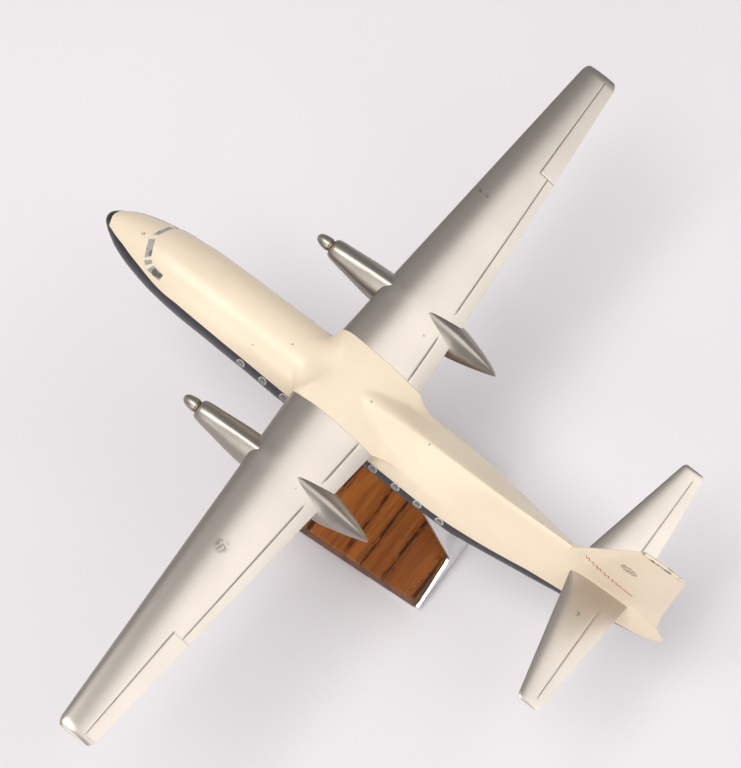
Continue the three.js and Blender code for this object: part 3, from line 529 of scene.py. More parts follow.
def nacelle_points():
    """Upright ovals along the shaft line with a soft ridge on top, and a blind bore in front."""
    t = spread((0, 0.02, 8), (0.02, 0.3, 24), (0.3, 0.7, 26), (0.7, 0.97, 28), (0.97, 1, 8))
    angle = np.linspace(0, 2 * math.pi, 64, endpoint=False)[None, :]
    wide = through(NACELLE_WIDTH, t)[:, None]
    top, low = through(NACELLE_TOP, t)[:, None], through(NACELLE_BELLY, t)[:, None]
    off = np.minimum(angle, 2 * math.pi - angle)
    ridge = 1 - 0.09 * np.clip((t[:, None] - 0.03) / 0.2, 0, 1) * (1 - np.exp(-((off / 0.42) ** 2)))
    up = (top + low) / 2 + (top - low) / 2 * np.cos(angle) * np.where(np.cos(angle) > 0, ridge, 1)
    s = np.broadcast_to((NACELLE_FRONT + t * (NACELLE_TAIL - NACELLE_FRONT))[:, None], up.shape)
    skin = np.stack([HUB_X + wide * np.sin(angle), s, up], -1)
    bore_r = np.array([BORE_RADIUS, BORE_RADIUS, BORE_RADIUS + 0.25])[:, None]
    bore_s = NACELLE_FRONT + np.array([BORE_DEPTH, 0.25, 0.0])[:, None] + 0 * angle
    bore = np.stack([HUB_X + bore_r * np.sin(angle), bore_s, HUB_Z + bore_r * np.cos(angle)], -1)
    return np.concatenate([bore, skin])


def turned(profile, sides=64):
    """A turned piece about the port shaft line: (station, radius) rows carried round a circle."""
    s, r = np.array(profile, float).T
    angle = np.linspace(0, 2 * math.pi, sides, endpoint=False)[None, :]
    s = s[:, None] + 0 * angle
    return np.stack([HUB_X + r[:, None] * np.sin(angle), s, HUB_Z + r[:, None] * np.cos(angle)], -1)


SPINNER_BASE = 130.1


def spinner_points():
    """A pointed dome: station by cosine, radius by sine to the power 0.85, hollow for the shaft."""
    turn = np.linspace(0.02, math.pi / 2, 22)
    dome = np.stack([SPINNER_BASE - 9.9 * np.cos(turn), 4.7 * np.sin(turn) ** 0.85], -1)
    hollow = [(SPINNER_BASE + 0.05, 4.55), (SPINNER_BASE + 0.05, 1.7), (123.3, 1.6)]
    return turned([*dome, *hollow])


def collar_points():
    """A ring with rounded lips behind the spinner."""
    front = [(130.3, 1.6), (130.3, 4.0), (130.5, 4.2)]
    return turned([*front, (131.5, 4.2), (131.7, 4.0), (131.7, 1.6)])


# ---- Windows and cockpit panes ----

PORTHOLES = [133.0, 151.7, 169.5, 245.0, 264.0, 282.5, 301.0]
PORTHOLE_ANGLE = [(133, 86.0), (170, 87.0), (245, 88.5), (264, 88.0), (301, 87.0)]
PANES = {
    "left": [
        [(34.7, 6.2), (38.7, -0.6), (44.4, 31.0), (40.7, 42.1)],
        [(41.3, 44.4), (45.4, 33.4), (47.8, 37.6), (43.7, 51.3)],
        [(45.8, 55.4), (48.6, 38.6), (58.7, 41.2), (58.1, 55.1)],
    ],
    "right": [
        [(34.9, 1.1), (38.8, 8.5), (43.0, 46.2), (40.1, 46.1)],
        [(40.6, 49.0), (43.6, 49.4), (46.0, 56.0), (42.6, 58.5)],
        [(44.8, 63.0), (47.6, 58.0), (58.0, 61.0), (57.0, 73.0)],
    ],
}


def porthole_points(width, height):
    """Oval buttons on the port flank: rings of shrinking size about each centre, where distance
    along the skin is measured by station and by angle times the hull's reach. The rim stands proud
    and the glass lies just inside it."""
    ring = np.array([0.9, 1.0, 1.0, 0.97, 0.87, 0.77, 0.73, 0.7, 0.35, 0.02])
    proud = np.array([-0.5, -0.4, 0.05, 0.16, 0.22, 0.18, 0.1, 0.05, 0.05, 0.05])
    turn = np.linspace(0, 2 * math.pi, 40, endpoint=False)
    made = []
    for middle in PORTHOLES:
        centre = math.radians(float(through(PORTHOLE_ANGLE, np.array(middle))))
        s = middle + width * ring[:, None] * np.cos(turn)
        angle = centre + height * ring[:, None] * np.sin(turn) / RADIUS
        made.append(skin_point(s, angle, proud[:, None]))
    drop = ring[:, None] * np.sin(turn)
    return made, np.repeat(ring, len(turn)), drop.ravel()


def pane_points(corners, steps=12):
    """A four-cornered pane that follows the skin: corners are (station, degrees from the crest),
    mixed in proportion to two parameters; the rim falls back into the skin."""
    s, degrees = np.array(corners, float).T
    u = np.concatenate([[0, 0], np.linspace(0, 1, steps), [1, 1]])
    a, b = np.meshgrid(u, u, indexing="ij")
    weight = [(1 - a) * (1 - b), (1 - a) * b, a * b, a * (1 - b)]
    across, turn = (sum(w * v for w, v in zip(weight, row)) for row in (s, np.radians(degrees)))
    proud = np.full_like(a, -0.5)
    proud[1:-1, 1:-1] = 0.09
    rim = np.minimum(np.minimum(a, 1 - a), np.minimum(b, 1 - b))
    return skin_point(across, turn, proud), rim


def sheet_faces(rows, cols):
    """Quads of an open grid, with one long face of its border points underneath to close it."""
    top = list(range(cols))
    right = [r * cols + cols - 1 for r in range(1, rows)]
    bottom = [(rows - 1) * cols + c for c in range(cols - 2, -1, -1)]
    left = [r * cols for r in range(rows - 2, 0, -1)]
    return [*woven(rows, cols, wrap=False).tolist(), top + right + bottom + left]


def several(parts):
    """Several (points, faces) skins as one, their point numbers run on."""
    points, faces, start = [], [], 0
    for block, quads in parts:
        points.append(block)
        faces += [[i + start for i in face] for face in quads]
        start += len(block)
    return np.concatenate(points), faces


# ---- Shader maths ----


class Value:
    """A number that varies over a surface. Arithmetic on it adds Math nodes to its tree."""

    def __init__(self, tree, socket):
        self.tree = tree
        self.socket = socket

    def math(self, operation, *terms):
        node = self.tree.nodes.new("ShaderNodeMath")
        node.operation = operation
        for place, term in zip(node.inputs, terms):
            feed(self.tree, place, term)
        return Value(self.tree, node.outputs[0])

    def __add__(self, other):
        return self.math("ADD", self, other)

    __radd__ = __add__

    def __sub__(self, other):
        return self.math("SUBTRACT", self, other)

    def __rsub__(self, other):
        return self.math("SUBTRACT", other, self)

    def __mul__(self, other):
        return self.math("MULTIPLY", self, other)

    __rmul__ = __mul__

    def __truediv__(self, other):
        return self.math("DIVIDE", self, other)

    def __rtruediv__(self, other):
        return self.math("DIVIDE", other, self)

    def __abs__(self):
        return self.math("ABSOLUTE", self)

    def __pow__(self, other):
        return self.math("POWER", self, other)

    def sine(self):
        return self.math("SINE", self)

    def most(self, other):
        return self.math("MAXIMUM", self, other)

    def ramp(self, low, high, start=0.0, end=1.0):
        """Rises smoothly from start to end as the value goes from low to high."""
        node = self.tree.nodes.new("ShaderNodeMapRange")
        node.interpolation_type = "SMOOTHSTEP"
        for name, term in zip(("Value", "From Min", "From Max", "To Min", "To Max"),
                              (self, low, high, start, end)):
            feed(self.tree, node.inputs[name], term)
        return Value(self.tree, node.outputs[0])


def feed(tree, place, term):
    """Links a value or a socket to a node's input, or sets the input to a number or a colour."""
    if isinstance(term, Value):
        tree.links.new(term.socket, place)
    elif isinstance(term, bpy.types.NodeSocket):
        tree.links.new(term, place)
    else:
        place.default_value = (*term, 1.0) if place.type == "RGBA" else term


def toned(share, color):
    """A colour with each channel multiplied by a share."""
    return tuple(share * channel for channel in color)


class Finish:
    """One material: its node tree, its shader, and short ways to add nodes."""

    def __init__(self, name, metallic=0.0):
        self.material = bpy.data.materials.new(name)
        self.material.use_nodes = True
        self.tree = self.material.node_tree
        self.shader = self.tree.nodes["Principled BSDF"]
        self.set(Metallic=metallic)

    def set(self, **inputs):
        """Feeds inputs of the shader, named with underscores for spaces."""
        for label, term in inputs.items():
            feed(self.tree, self.shader.inputs[label.replace("_", " ")], term)

    def node(self, kind, settings=None, **inputs):
        """A node of a type, with its settings made first and then its inputs fed."""
        made = self.tree.nodes.new(kind)
        for label, value in (settings or {}).items():
            setattr(made, label, value)
        for label, term in inputs.items():
            feed(self.tree, made.inputs[label.replace("_", " ")], term)
        return made

    def value(self, output, kind, settings=None, **inputs):
        """One output of a new node, as a number."""
        return Value(self.tree, self.node(kind, settings, **inputs).outputs[output])

    def field(self, name):
        """A point attribute, as a number."""
        return self.value("Fac", "ShaderNodeAttribute", {"attribute_name": name})

    def level(self):
        """Where a point of the airframe is, in millimetres of the level airframe."""
        return self.node("ShaderNodeAttribute", {"attribute_name": "level"}).outputs["Vector"]

    def place(self):
        """Where a point is in the object's own metres."""
        return self.node("ShaderNodeTexCoord").outputs["Object"]

    def split(self, vector):
        node = self.node("ShaderNodeSeparateXYZ", Vector=vector)
        return [Value(self.tree, out) for out in node.outputs]

    def scaled(self, vector, scale, move=(0, 0, 0)):
        return self.node("ShaderNodeMapping", Vector=vector, Scale=scale, Location=move).outputs[0]

    def noise(self, vector, scale, detail=3.0, roughness=0.5, distortion=0.0):
        return self.value("Fac", "ShaderNodeTexNoise", Vector=vector, Scale=scale, Detail=detail,
                          Roughness=roughness, Distortion=distortion)

    def specks(self, vector, scale, size, share):
        """Small round spots at random cell points, on a share of the cells."""
        node = self.node("ShaderNodeTexVoronoi", Vector=vector, Scale=scale)
        near = Value(self.tree, node.outputs["Distance"])
        pick = self.split(node.outputs["Color"])[0]
        return near.ramp(size, size * 0.55, 0.0, 1.0) * pick.ramp(share, share - 0.01)

    def scars(self, where, marks, fine):
        """Small ragged marks, each about a point of the level airframe out to a radius."""
        found = 0.0
        for *middle, radius in marks:
            node = self.node("ShaderNodeVectorMath", {"operation": "DISTANCE"}, Vector=where)
            feed(self.tree, node.inputs[1], middle)
            found = Value(self.tree, node.outputs["Value"]).ramp(radius, radius * 0.4).most(found)
        return found * fine.ramp(0.42, 0.54)

    def blend(self, share, first, second):
        """The first colour, mixed with the second by a share."""
        node = self.node("ShaderNodeMix", {"data_type": "RGBA"})
        for place, term in zip((0, 6, 7), (share, first, second)):
            feed(self.tree, node.inputs[place], term)
        return node.outputs[2]

    def bump(self, height, strength, distance):
        """Feeds a bump of `height` to the shader's normal. The distance is in metres."""
        node = self.node("ShaderNodeBump", Height=height, Strength=strength, Distance=distance)
        self.set(Normal=node.outputs["Normal"])


# ---- Finishes ----

LINE_START = (386.6, 52.0)
LINE_LENGTH = 42.0
LINE_ALONG = (0.982, -0.19)
LINE_HALF = 1.1
MARK = (411.8, 80.4)
MARK_HALF = (6.4, 5.0)
PRINT_EDGE = 0.12
HULL_FIELDS = ("band", "belly", "cap")
CREAM_CHIPS = [
    (1.2, 217.9, 29.8, 1.2), (2.3, 154.0, 26.4, 1.2), (17.1, 133.1, 20.0, 1.1),
    (0.9, 264.9, 32.0, 1.1), (-17.4, 35.2, 7.8, 3.0), (-19.5, 40.0, 6.5, 2.2),
    (1.5, 30.0, 16.7, 1.8), (-2.6, 352.6, 37.1, 1.6), (-4.2, 349.1, 33.9, 1.6),
]
SILVER_SCUFFS = [
    (139.1, 200.5, 34.4, 6.5), (28.9, 406.9, 28.5, 2.4), (-58.3, 218.1, 28.2, 1.6),
    (-163.4, 187.1, 34.6, 2.0), (-163.2, 192.9, 35.4, 2.2),
]


def hull_print(coat, colors, color, rough, fine):
    """The navy window band, the silver belly and the black nose cap, each where its field is above
    zero. Gives the colour and the roughness."""
    band, belly, cap = (coat.field(name).ramp(-PRINT_EDGE, PRINT_EDGE) for name in HULL_FIELDS)
    navy = coat.blend(fine.ramp(0.62, 0.78) * 0.25, colors.navy, (0.2, 0.2, 0.22))
    color = coat.blend(belly, coat.blend(band, color, navy), colors.silver)
    coat.set(Metallic=belly * 0.9 * (1 - cap))
    return coat.blend(cap, color, (0.012, 0.012, 0.013)), rough + belly * 0.1


def fin_print(coat, colors, color, where):
    """A red line that waves near its start, by the sine of the way along it, a mark of short black
    strokes inside an oval, and a rubbed top edge."""
    _, s, z = coat.split(where)
    aft, up = s - LINE_START[0], z - LINE_START[1]
    run = aft * LINE_ALONG[0] + up * LINE_ALONG[1]
    side = up * LINE_ALONG[0] - aft * LINE_ALONG[1]
    early = run.ramp(LINE_LENGTH * 0.8, LINE_LENGTH * 0.6)
    wave = (run * 1.9 + coat.noise(where, 0.3, 1.0) * 8.0).sine() * early * 1.4
    line = abs(side + wave).ramp(LINE_HALF, 0.6) * run.ramp(0, 0.5)
    line = line * run.ramp(LINE_LENGTH, LINE_LENGTH - 1)
    off = ((s - MARK[0]) / MARK_HALF[0]) ** 2 + ((z - MARK[1]) / MARK_HALF[1]) ** 2
    strokes = ((s - z) * 2.2 + coat.noise(where, 0.4, 2.0) * 9.0).sine()
    tick = off.ramp(1.1, 0.8) * strokes.ramp(-0.1, 0.35)
    wear_and_side_shade = coat.noise(where, 0.5, 3.0).ramp(0.36, 0.5, 0.55, 1.0)
    rubbed = coat.noise(where, 0.28, 2.0).ramp(0.5, 0.62)
    edge = coat.field("edge").ramp(0.3, 0.6) * (0.15 + rubbed * 0.7)
    color = coat.blend(line * wear_and_side_shade, color, colors.line)
    color = coat.blend(tick * wear_and_side_shade, color, (0.02, 0.02, 0.02))
    return coat.blend(edge, color, (0.09, 0.07, 0.05))


def cream_enamel(colors, part):
    """Glossy cream enamel, a little uneven, with small dark chips. The hull has its band, belly and
    nose cap and some larger chips, the fin its line and mark."""
    coat = Finish("cream_enamel_" + part)
    where = coat.level()
    cloud = coat.noise(where, 0.02)
    fine = coat.noise(where, 0.35, 4.0)
    cream = coat.blend(cloud.ramp(0.35, 0.7), colors.cream, toned(0.94, colors.cream))
    chips = coat.specks(where, 0.042, 0.03, 0.3) * fine.ramp(0.3, 0.5, 0.3, 1.0)
    if part == "hull":
        chips = chips.most(coat.scars(where, CREAM_CHIPS, coat.noise(where, 0.9)))
    color = coat.blend(chips * 0.75, cream, (0.16, 0.12, 0.08))
    rough = 0.27 + fine * 0.12
    if part == "hull":
        color, rough = hull_print(coat, colors, color, rough, fine)
    else:
        color = fin_print(coat, colors, color, where)
    coat.set(Base_Color=color, Roughness=rough, Specular_IOR_Level=0.45)
    coat.bump(coat.noise(where, 0.06, 2.0) + fine * 0.15, 0.35, 0.0004)
    return coat.material


def silver_enamel(colors, scribed=False, rough=0.26, shade_share=1.0):
    """Satin aluminium paint: bright flake under a soft haze, with small dark spots. On the wings it
    is dark where it is scribed, and scuffed in a few places. A share below one darkens the whole
    paint as painted shade."""
    coat = Finish("silver_enamel_" + ("scribed" if scribed else "plain_painted_shade"), metallic=1.0)
    where = coat.level()
    cloud = coat.noise(where, 0.018)
    flake = coat.noise(where, 3.2, 2.0)
    streak = coat.noise(coat.scaled(where, (0.02, 0.25, 0.2)), 1.0, 4.0)
    # Painted shade: the whole silver is darkened by the given share.
    silver = toned(shade_share, colors.silver)
    haze = cloud.ramp(0.3, 0.75) * 0.6 + streak * 0.25
    spots = coat.specks(where, 0.04, 0.03, 0.25) * flake.ramp(0.3, 0.5, 0.4, 1.0)
    if scribed:
        spots = spots.most(coat.scars(where, SILVER_SCUFFS, coat.noise(where, 0.6, 4.0)))
    color = coat.blend(haze, silver, toned(0.9, silver))
    color = coat.blend(spots * 0.6, color, (0.13, 0.12, 0.11))
    rough = rough + cloud * 0.07 + flake * 0.05
    if scribed:
        ink = coat.field("groove")
        rubbed = coat.noise(where, 0.16).ramp(0.42, 0.58, 0.3, 1.0)
        color = coat.blend(ink * rubbed * 0.9, color, (0.045, 0.04, 0.035))
        rough = rough + ink * 0.25
    coat.set(Base_Color=color, Roughness=rough)
    coat.bump(flake * 0.3 + cloud, 0.25, 0.0003)
    return coat.material


def bare_metal(name, color, rough, grain=(300, 300, 40), dull=0.12):
    """Bare metal with fine drawn grain along one axis and cloudy dulling."""
    coat = Finish(name, metallic=1.0)
    where = coat.place()
    drawn = coat.noise(coat.scaled(where, grain), 8.0)
    cloud = coat.noise(where, 45.0)
    coat.set(
        Base_Color=coat.blend(cloud.ramp(0.35, 0.75), color, toned(0.78, color)),
        Roughness=rough + drawn * dull + cloud * dull,
    )
    coat.bump(drawn, 0.12, 0.00004)
    return coat.material


def varnished_oak(colors, top):
    """Reddish-brown oak under varnish, grain across the block: long figure from stretched noise,
    dark early-wood streaks, and short open pores. Below the top face it is duller, and darker as
    painted shade."""
    coat = Finish("varnished_oak")
    where = coat.place()

    def stretched(scale, *settings):
        return coat.noise(coat.scaled(where, scale), 1.0, *settings)

    figure = stretched((4, 26, 26), 4.0, 0.55, 0.8)
    fibre = stretched((25, 420, 420), 4.0, 0.6)
    ring = coat.value(
        "Fac", "ShaderNodeTexWave", {"bands_direction": "Y", "wave_profile": "SIN"},
        Vector=coat.scaled(where, (1.4, 13, 13), (0.2, 0.13, 0)), Scale=1.0, Distortion=9.0,
        Detail=3.0, Detail_Scale=0.9)
    seam = ring.ramp(0.93, 0.995) * stretched((60, 300, 300)).ramp(0.36, 0.5)
    pores = stretched((160, 900, 900), 2.0).ramp(0.56, 0.66) * ring.ramp(0.55, 0.95)
    streak = toned(0.6, colors.oak_dark)
    color = coat.blend(figure.ramp(0.32, 0.68), colors.oak, colors.oak_dark)
    color = coat.blend(fibre.ramp(0.42, 0.66) * 0.55, color, streak)
    color = coat.blend(ring.ramp(0.4, 1.0) * 0.4, color, streak)
    color = coat.blend(seam.most(pores * 0.8) * 0.85, color, (0.022, 0.008, 0.003))
    # Painted shade: the sides below the top face are blended most of the way to dark brown, which
    # carries fine grain lines.
    side = coat.split(where)[2].ramp(top - 0.0012, top - 0.0022)
    layers = stretched((18, 30, 700)).ramp(0.4, 0.6)
    wear_and_side_shade = coat.blend(layers, (0.075, 0.04, 0.022), (0.16, 0.085, 0.05))
    color = coat.blend(side * 0.8, color, wear_and_side_shade)
    coat.set(
        Base_Color=color, Roughness=0.5 + pores * 0.25 + figure * 0.1,
        Specular_IOR_Level=0.2, Coat_Weight=0.04, Coat_Roughness=0.2,
    )
    coat.bump(1 - pores, 0.4, 0.0002)
    return coat.material


def porthole_finish():
    """Printed rim round a dark grey pane, told apart by the ring's own share. The rim is light grey
    on its upper half, a painted highlight, and darker grey below, painted shade; the pane is
    painted lighter towards its lower edge.
    """
    coat = Finish("porthole_print_and_painted_light")
    rim = coat.field("ring").ramp(0.66, 0.76)
    fine = coat.noise(coat.level(), 1.2)
    drop = coat.field("drop")
    # Painted light: the pane is dark at its upper edge and lighter towards its lower edge.
    glass = coat.blend(drop.ramp(-0.5, 0.5), (0.09, 0.09, 0.085), (0.26, 0.25, 0.23))
    # Painted highlight and shade: the rim is light grey on its upper half and dark grey below.
    grey = coat.blend(drop.ramp(0.0, 0.8), (0.5, 0.5, 0.49), (0.2, 0.2, 0.2))
    grey = coat.blend(fine * 0.3, grey, (0.2, 0.2, 0.2))
    coat.set(Base_Color=coat.blend(rim, glass, grey), Roughness=0.25 + rim * 0.15)
    return coat.material


def pane_finish():
    """Silver-grey printed pane with a pale border and a dark cloudy streak."""
    coat = Finish("cockpit_print")
    rim = coat.field("rim").ramp(0.09, 0.03)
    fine = coat.noise(coat.level(), 0.16, 1.0)
    middle = coat.blend(fine.ramp(0.48, 0.62), (0.34, 0.33, 0.3), (0.11, 0.1, 0.085))
    coat.set(Base_Color=coat.blend(rim, middle, (0.66, 0.6, 0.5)), Roughness=0.3 + fine * 0.1)
    return coat.material


# ---- Settings ----


def shade(name, description, default):
    return FloatVectorProperty(name=name, description=description, default=default, size=3,
                               min=0.0, max=1.0, subtype="COLOR")


class AirlinerColors(bpy.types.PropertyGroup):
    """Paint and wood colours of the model."""

    cream: shade("Cream", "Enamel of the fuselage and fin", (0.84, 0.70, 0.52))
    navy: shade("Navy", "Band through the cabin windows", (0.012, 0.0135, 0.024))
    silver: shade("Silver", "Aluminium paint of the wings and belly", (0.53, 0.475, 0.42))
    line: shade("Fin line", "Thin line on the fin", (0.6, 0.03, 0.03))
    oak: shade("Oak", "Lighter wood of the block", (0.56, 0.175, 0.031))
    oak_dark: shade("Dark oak", "Darker figure of the wood", (0.27, 0.075, 0.013))
    floor: shade("Floor", "Studio floor", (0.87, 0.83, 0.84))


class AirlinerSizes(bpy.types.PropertyGroup):
    """Sizes of the surface details and the studio."""

    porthole_width: FloatProperty(
        name="Window half width", default=3.3, min=1.0, max=5.0,
        description="Half the width of a cabin window's rim, in millimetres")
    porthole_height: FloatProperty(
        name="Window half height", default=4.6, min=1.0, max=6.0,
        description="Half the height of a cabin window's rim, in millimetres")
    floor: FloatProperty(
        name="Floor size", default=14.0, min=2.0, unit="LENGTH",
        description="Side of the studio floor")
    bevel: FloatProperty(
        name="Block edge", default=0.0006, min=0.0, unit="LENGTH",
        description="Extra rounding of the block's edges")
    bevel_segments: IntProperty(
        name="Edge steps", default=3, min=1, max=6, description="Steps in each rounded edge")


# ---- Operators ----

CAP_END = 4.3
CAP_SPREAD = 0.32
# The nacelles and spinners take the wings' silver paint toned darker, as painted shade.
NACELLE_ROUGH, NACELLE_PAINTED_SHADE = 0.31, 0.74
BRACKET_BEVEL = 0.0003
BEVEL_ANGLE = 40


def colors():
    return bpy.context.scene.airliner_colors


def sizes():
    return bpy.context.scene.airliner_sizes


class AIRLINER_OT_fuselage(bpy.types.Operator):
    """Builds the fuselage skin with the wing centre, its band, belly and nose cap"""

    bl_idname = "airliner.fuselage"
    bl_label = "Fuselage"
    bl_options = {"REGISTER", "UNDO"}

    def execute(self, context):
        points, faces = tube(fuselage_points())
        x, s, z = points.T
        cap = CAP_END + CAP_SPREAD * np.clip(np.abs(x) - 1, 0, 6) - s
        fields = zip(HULL_FIELDS, (through(BAND_TOP, s) - z, through(BAND_LOW, s) - z, cap))
        made = piece("fuselage_skin", points, faces, dict(fields), sharp=32)
        finish_piece(made, cream_enamel(colors(), "hull"), ["fuselage"])
        return {"FINISHED"}


class AIRLINER_OT_fin(bpy.types.Operator):
    """Builds the fin with its thin line and small mark"""

    bl_idname = "airliner.fin"
    bl_label = "Fin"
    bl_options = {"REGISTER", "UNDO"}

    def execute(self, context):
        grid = fin_grid()
        edge = np.zeros(grid.shape[:2])
        edge[-3:-1] = 1.0  # the bevel under the lid
        made = piece("fin_skin", *tube(grid), {"edge": ring_field(edge)}, sharp=35)
        finish_piece(made, cream_enamel(colors(), "fin"), ["fin"])
        return {"FINISHED"}


class AIRLINER_OT_planes(bpy.types.Operator):
    """Builds both wings and both tailplane halves with their scribed control surfaces"""

    bl_idname = "airliner.planes"
    bl_label = "Wings and tailplane"
    bl_options = {"REGISTER", "UNDO"}

    def execute(self, context):
        paint = silver_enamel(colors(), scribed=True)
        wing = plane_skin(WING, 27.15, WING_LINES, [(200.95, 0.55), (284.35, 0.4)], swell=0.22)
        tail = plane_skin(TAILPLANE, 3.0, TAIL_LINES, [])
        for name, (grid, grooves) in (("wing", wing), ("tailplane", tail)):
            fields = {"groove": ring_field(grooves)}
            for side, turn in SIDES:
                made = piece(f"{name}_{side}_skin", *tube(turn(grid)), fields, sharp=50)
                finish_piece(made, paint, [f"{name}_{side}"])
        return {"FINISHED"}


class AIRLINER_OT_nacelles(bpy.types.Operator):
    """Builds the two engine nacelles"""

    bl_idname = "airliner.nacelles"
    bl_label = "Nacelles"
    bl_options = {"REGISTER", "UNDO"}

    def execute(self, context):
        paint = silver_enamel(colors(), rough=NACELLE_ROUGH, shade_share=NACELLE_PAINTED_SHADE)
        for side, turn in SIDES:
            made = piece(f"nacelle_{side}_skin", *tube(turn(nacelle_points())))
            finish_piece(made, paint, [f"nacelle_{side}"])
        return {"FINISHED"}


class AIRLINER_OT_hubs(bpy.types.Operator):
    """Builds the spinners and the brass collars behind them, which turn with their shafts"""

    bl_idname = "airliner.hubs"
    bl_label = "Propeller hubs"
    bl_options = {"REGISTER", "UNDO"}

    def execute(self, context):
        paint = silver_enamel(colors(), rough=NACELLE_ROUGH, shade_share=NACELLE_PAINTED_SHADE)
        # Brass of the collars, darkened well below the insert brass as painted shade of the gap
        # between spinner and nacelle.
        brass = bare_metal("turned_brass_and_gap_shade", (0.36, 0.26, 0.13), 0.34, grain=(40, 400, 40))
        for side, turn in SIDES:
            body = f"propeller_hub_{side}"
            made = piece(f"spinner_{side}_skin", *tube(turn(spinner_points())))
            finish_piece(made, paint, [f"spinner_{side}"], body)
            grid = turn(collar_points())
            rows, cols = grid.shape[:2]
            faces = woven(rows + 1, cols) % (rows * cols)
            made = piece(f"collar_{side}_skin", grid.reshape(-1, 3), faces.tolist())
            finish_piece(made, brass, [f"collar_{side}"], body)
        return {"FINISHED"}


class AIRLINER_OT_windows(bpy.types.Operator):
    """Builds the printed cabin windows and cockpit panes on both flanks"""

    bl_idname = "airliner.windows"
    bl_label = "Windows and panes"
    bl_options = {"REGISTER", "UNDO"}

    def execute(self, context):
        buttons, ring, drop = porthole_points(sizes().porthole_width, sizes().porthole_height)
        grey, glass = porthole_finish(), pane_finish()
        for side, turn in SIDES:
            points, faces = several([tube(turn(b)) for b in buttons])
            fields = {
                "ring": np.tile(ring_field(ring, (0.9, 0.0)), len(buttons)),
                "drop": np.tile(ring_field(drop), len(buttons)),
            }
            made = piece(f"portholes_{side}", points, faces, fields, sharp=60)
            finish_piece(made, grey)
            panes = [pane_points(corners) for corners in PANES[side]]
            parts = [(turn(p).reshape(-1, 3), sheet_faces(*p.shape[:2])) for p, _ in panes]
            points, faces = several(parts)
            rim = np.concatenate([r.ravel() for _, r in panes])
            made = piece(f"cockpit_panes_{side}", points, faces, {"rim": rim}, sharp=60)
            finish_piece(made, glass)
        return {"FINISHED"}


class AIRLINER_OT_stand(bpy.types.Operator):
    """Finishes the wood block, the bent bracket, the screws and the hidden fixings"""

    bl_idname = "airliner.stand"
    bl_label = "Stand"
    bl_options = {"REGISTER", "UNDO"}

    def execute(self, context):
        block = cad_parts["stand_block"].data
        heights = np.empty(3 * len(block.vertices))
        block.vertices.foreach_get("co", heights)
        oak = varnished_oak(colors(), float(heights[2::3].max()))
        plate = bare_metal("polished_plate", (0.86, 0.86, 0.87), 0.16, grain=(12, 500, 500))
        steel = bare_metal("drawn_steel", (0.5, 0.5, 0.51), 0.3)
        brass = bare_metal("insert_brass", (0.6, 0.42, 0.18), 0.32)
        copies = (
            ("stand_block", oak, "wood", sizes().bevel),
            ("stand_bracket", plate, "plate", BRACKET_BEVEL),
        )
        for node, paint, slot, radius in copies:
            finish_piece(self.copy_of(node, radius), paint, [node])
        for name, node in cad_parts.items():
            if not node.hide_render:
                brassy = name.startswith(("bush", "belly_insert"))
                node.data.materials.clear()
                node.data.materials.append(brass if brassy else steel)
        return {"FINISHED"}

    def copy_of(self, node, radius):
        """A CAD solid with its doubled points merged and its sharp edges rounded."""
        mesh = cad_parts[node].data.copy()
        mesh.materials.clear()
        for attribute in [a for a in mesh.attributes if a.name == "custom_normal"]:
            mesh.attributes.remove(attribute)
        tidy(mesh, 35, merge=1e-6)
        made = bpy.data.objects.new(node + "_piece", mesh)
        bpy.context.scene.collection.objects.link(made)
        edge = made.modifiers.new("Rounded edges", "BEVEL")
        edge.width = radius
        edge.segments = sizes().bevel_segments
        edge.limit_method = "ANGLE"
        edge.angle_limit = math.radians(BEVEL_ANGLE)
        edge.harden_normals = True
        return made


FLOOR_GAP = 0.0004
# Direction and tone of the painted shade across the floor.
FLOOR_SHADE_SIDE = (0.95, 0.3)
FLOOR_SHADE_TONE = 0.84
LIGHTS = (
    ("rear softbox", (-0.42, 1.74, 2.2), (-0.2, 0.0, 0.2), (2.4, 2.0), 27),
    ("overhead softbox", (0.86, -0.2, 2.67), (0.0, 0.0, 0.2), (1.2, 1.3), 34),
    ("front card", (0.7, -2.0, 1.1), (0.2, 0.0, 0.25), (1.8, 1.2), 4),
    ("port fill", (2.4, 0.2, 1.1), (0.0, 0.0, 0.2), (1.6, 1.6), 20),
)
SENSOR_WIDTH = 36.0
FOCAL_LENGTH = 99.34
CAMERA_PLACE = (0.43535, 0.42097, 1.42865)
CAMERA_RIGHT = (-0.59068, 0.80461, -0.06088)
CAMERA_DOWN = (0.74067, 0.51071, -0.43656)
CAMERA_AHEAD = (-0.32017, -0.30296, -0.89762)


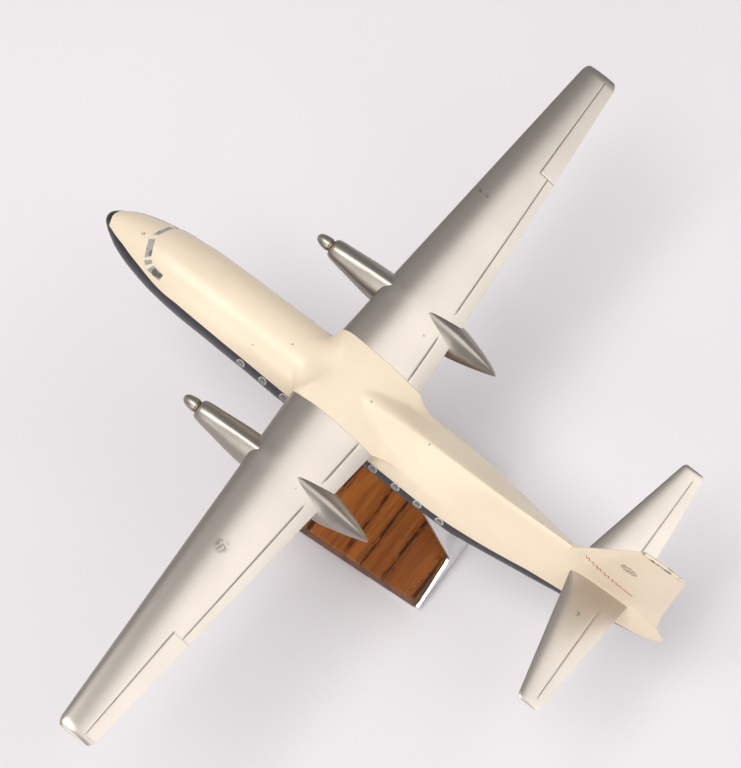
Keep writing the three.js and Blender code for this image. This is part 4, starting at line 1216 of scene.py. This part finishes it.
class AIRLINER_OT_stage(bpy.types.Operator):
    """Sets the floor, with painted shade towards one side, the soft light and the camera"""

    bl_idname = "airliner.stage"
    bl_label = "Studio"
    bl_options = {"REGISTER", "UNDO"}

    def execute(self, context):
        scene = bpy.context.scene
        half = sizes().floor / 2
        corners = [(-half, -half), (half, -half), (half, half), (-half, half)]
        floor = bpy.data.meshes.new("studio_floor")
        floor.from_pydata([(*corner, -FLOOR_GAP) for corner in corners], [], [(0, 1, 2, 3)])
        coat = Finish("studio_paper")
        fine = coat.noise(coat.place(), 3.0)
        x, y, _ = coat.split(coat.place())
        # Painted shade: the paper darkens towards +x and +y, where the light falls off.
        painted_falloff = (x * FLOOR_SHADE_SIDE[0] + y * FLOOR_SHADE_SIDE[1] + fine * 0.05).ramp(-0.3, 0.6)
        paper_and_shade = coat.blend(painted_falloff, colors().floor, toned(FLOOR_SHADE_TONE, colors().floor))
        coat.set(Base_Color=paper_and_shade, Roughness=0.75 + fine * 0.1)
        floor.materials.append(coat.material)
        made = bpy.data.objects.new("studio_floor", floor)
        scene.collection.objects.link(made)
        for light in LIGHTS:
            self.light(*light)
        world = bpy.data.worlds.new("studio")
        world.use_nodes = True
        sky = world.node_tree.nodes["Background"].inputs
        sky["Color"].default_value = (0.97, 0.98, 1.0, 1)
        sky["Strength"].default_value = 0.36
        scene.world = world
        scene.view_settings.view_transform = "Standard"
        self.camera(scene)
        return {"FINISHED"}

    def light(self, name, place, aim, size, power):
        """An area light of a size in metres and a power in watts, turned towards its aim."""
        lamp = bpy.data.lights.new(name, "AREA")
        lamp.shape = "RECTANGLE"
        lamp.size, lamp.size_y = size
        lamp.energy = power
        made = bpy.data.objects.new(name, lamp)
        ahead = np.array(aim, float) - np.array(place, float)
        ahead /= np.linalg.norm(ahead)
        right = np.cross(ahead, (0, 0, 1.0))
        right /= np.linalg.norm(right)
        made.matrix_world = columns(right, np.cross(right, ahead), -ahead, place)
        bpy.context.scene.collection.objects.link(made)

    def camera(self, scene):
        lens = bpy.data.cameras.new("camera")
        lens.sensor_width, lens.lens = SENSOR_WIDTH, FOCAL_LENGTH
        lens.clip_start, lens.clip_end = 0.05, 50
        made = bpy.data.objects.new("camera", lens)
        down, ahead = np.array(CAMERA_DOWN), np.array(CAMERA_AHEAD)
        made.matrix_world = columns(CAMERA_RIGHT, -down, -ahead, CAMERA_PLACE)
        scene.collection.objects.link(made)
        scene.camera = made


def columns(x, y, z, place):
    """A 4 by 4 matrix from three axes and a place."""
    rows = np.eye(4)
    rows[:3, 0], rows[:3, 1], rows[:3, 2], rows[:3, 3] = x, y, z, place
    return Matrix(rows.tolist())


class AIRLINER_PT_panel(bpy.types.Panel):
    """Lists the operators and the settings in the sidebar"""

    bl_label = "Desktop Airliner"
    bl_idname = "AIRLINER_PT_panel"
    bl_space_type = "VIEW_3D"
    bl_region_type = "UI"
    bl_category = "Airliner"

    def draw(self, context):
        column = self.layout.column()
        for step in STEPS:
            column.operator(step.bl_idname)
        for group in (context.scene.airliner_sizes, context.scene.airliner_colors):
            box = self.layout.box()
            for label in group.__annotations__:
                box.prop(group, label)


STEPS = (
    AIRLINER_OT_fuselage,
    AIRLINER_OT_fin,
    AIRLINER_OT_planes,
    AIRLINER_OT_nacelles,
    AIRLINER_OT_hubs,
    AIRLINER_OT_windows,
    AIRLINER_OT_stand,
    AIRLINER_OT_stage,
)
CLASSES = (AirlinerColors, AirlinerSizes, *STEPS, AIRLINER_PT_panel)


def register():
    for each in CLASSES:
        bpy.utils.register_class(each)
    bpy.types.Scene.airliner_colors = PointerProperty(type=AirlinerColors)
    bpy.types.Scene.airliner_sizes = PointerProperty(type=AirlinerSizes)


def unregister():
    del bpy.types.Scene.airliner_sizes
    del bpy.types.Scene.airliner_colors
    for each in reversed(CLASSES):
        bpy.utils.unregister_class(each)


def main():
    register()
    bpy.ops.airliner.fuselage()
    bpy.ops.airliner.fin()
    bpy.ops.airliner.planes()
    bpy.ops.airliner.nacelles()
    bpy.ops.airliner.hubs()
    bpy.ops.airliner.windows()
    bpy.ops.airliner.stand()
    bpy.ops.airliner.stage()
    bpy.context.view_layer.update()


if __name__ == "__main__":
    main()
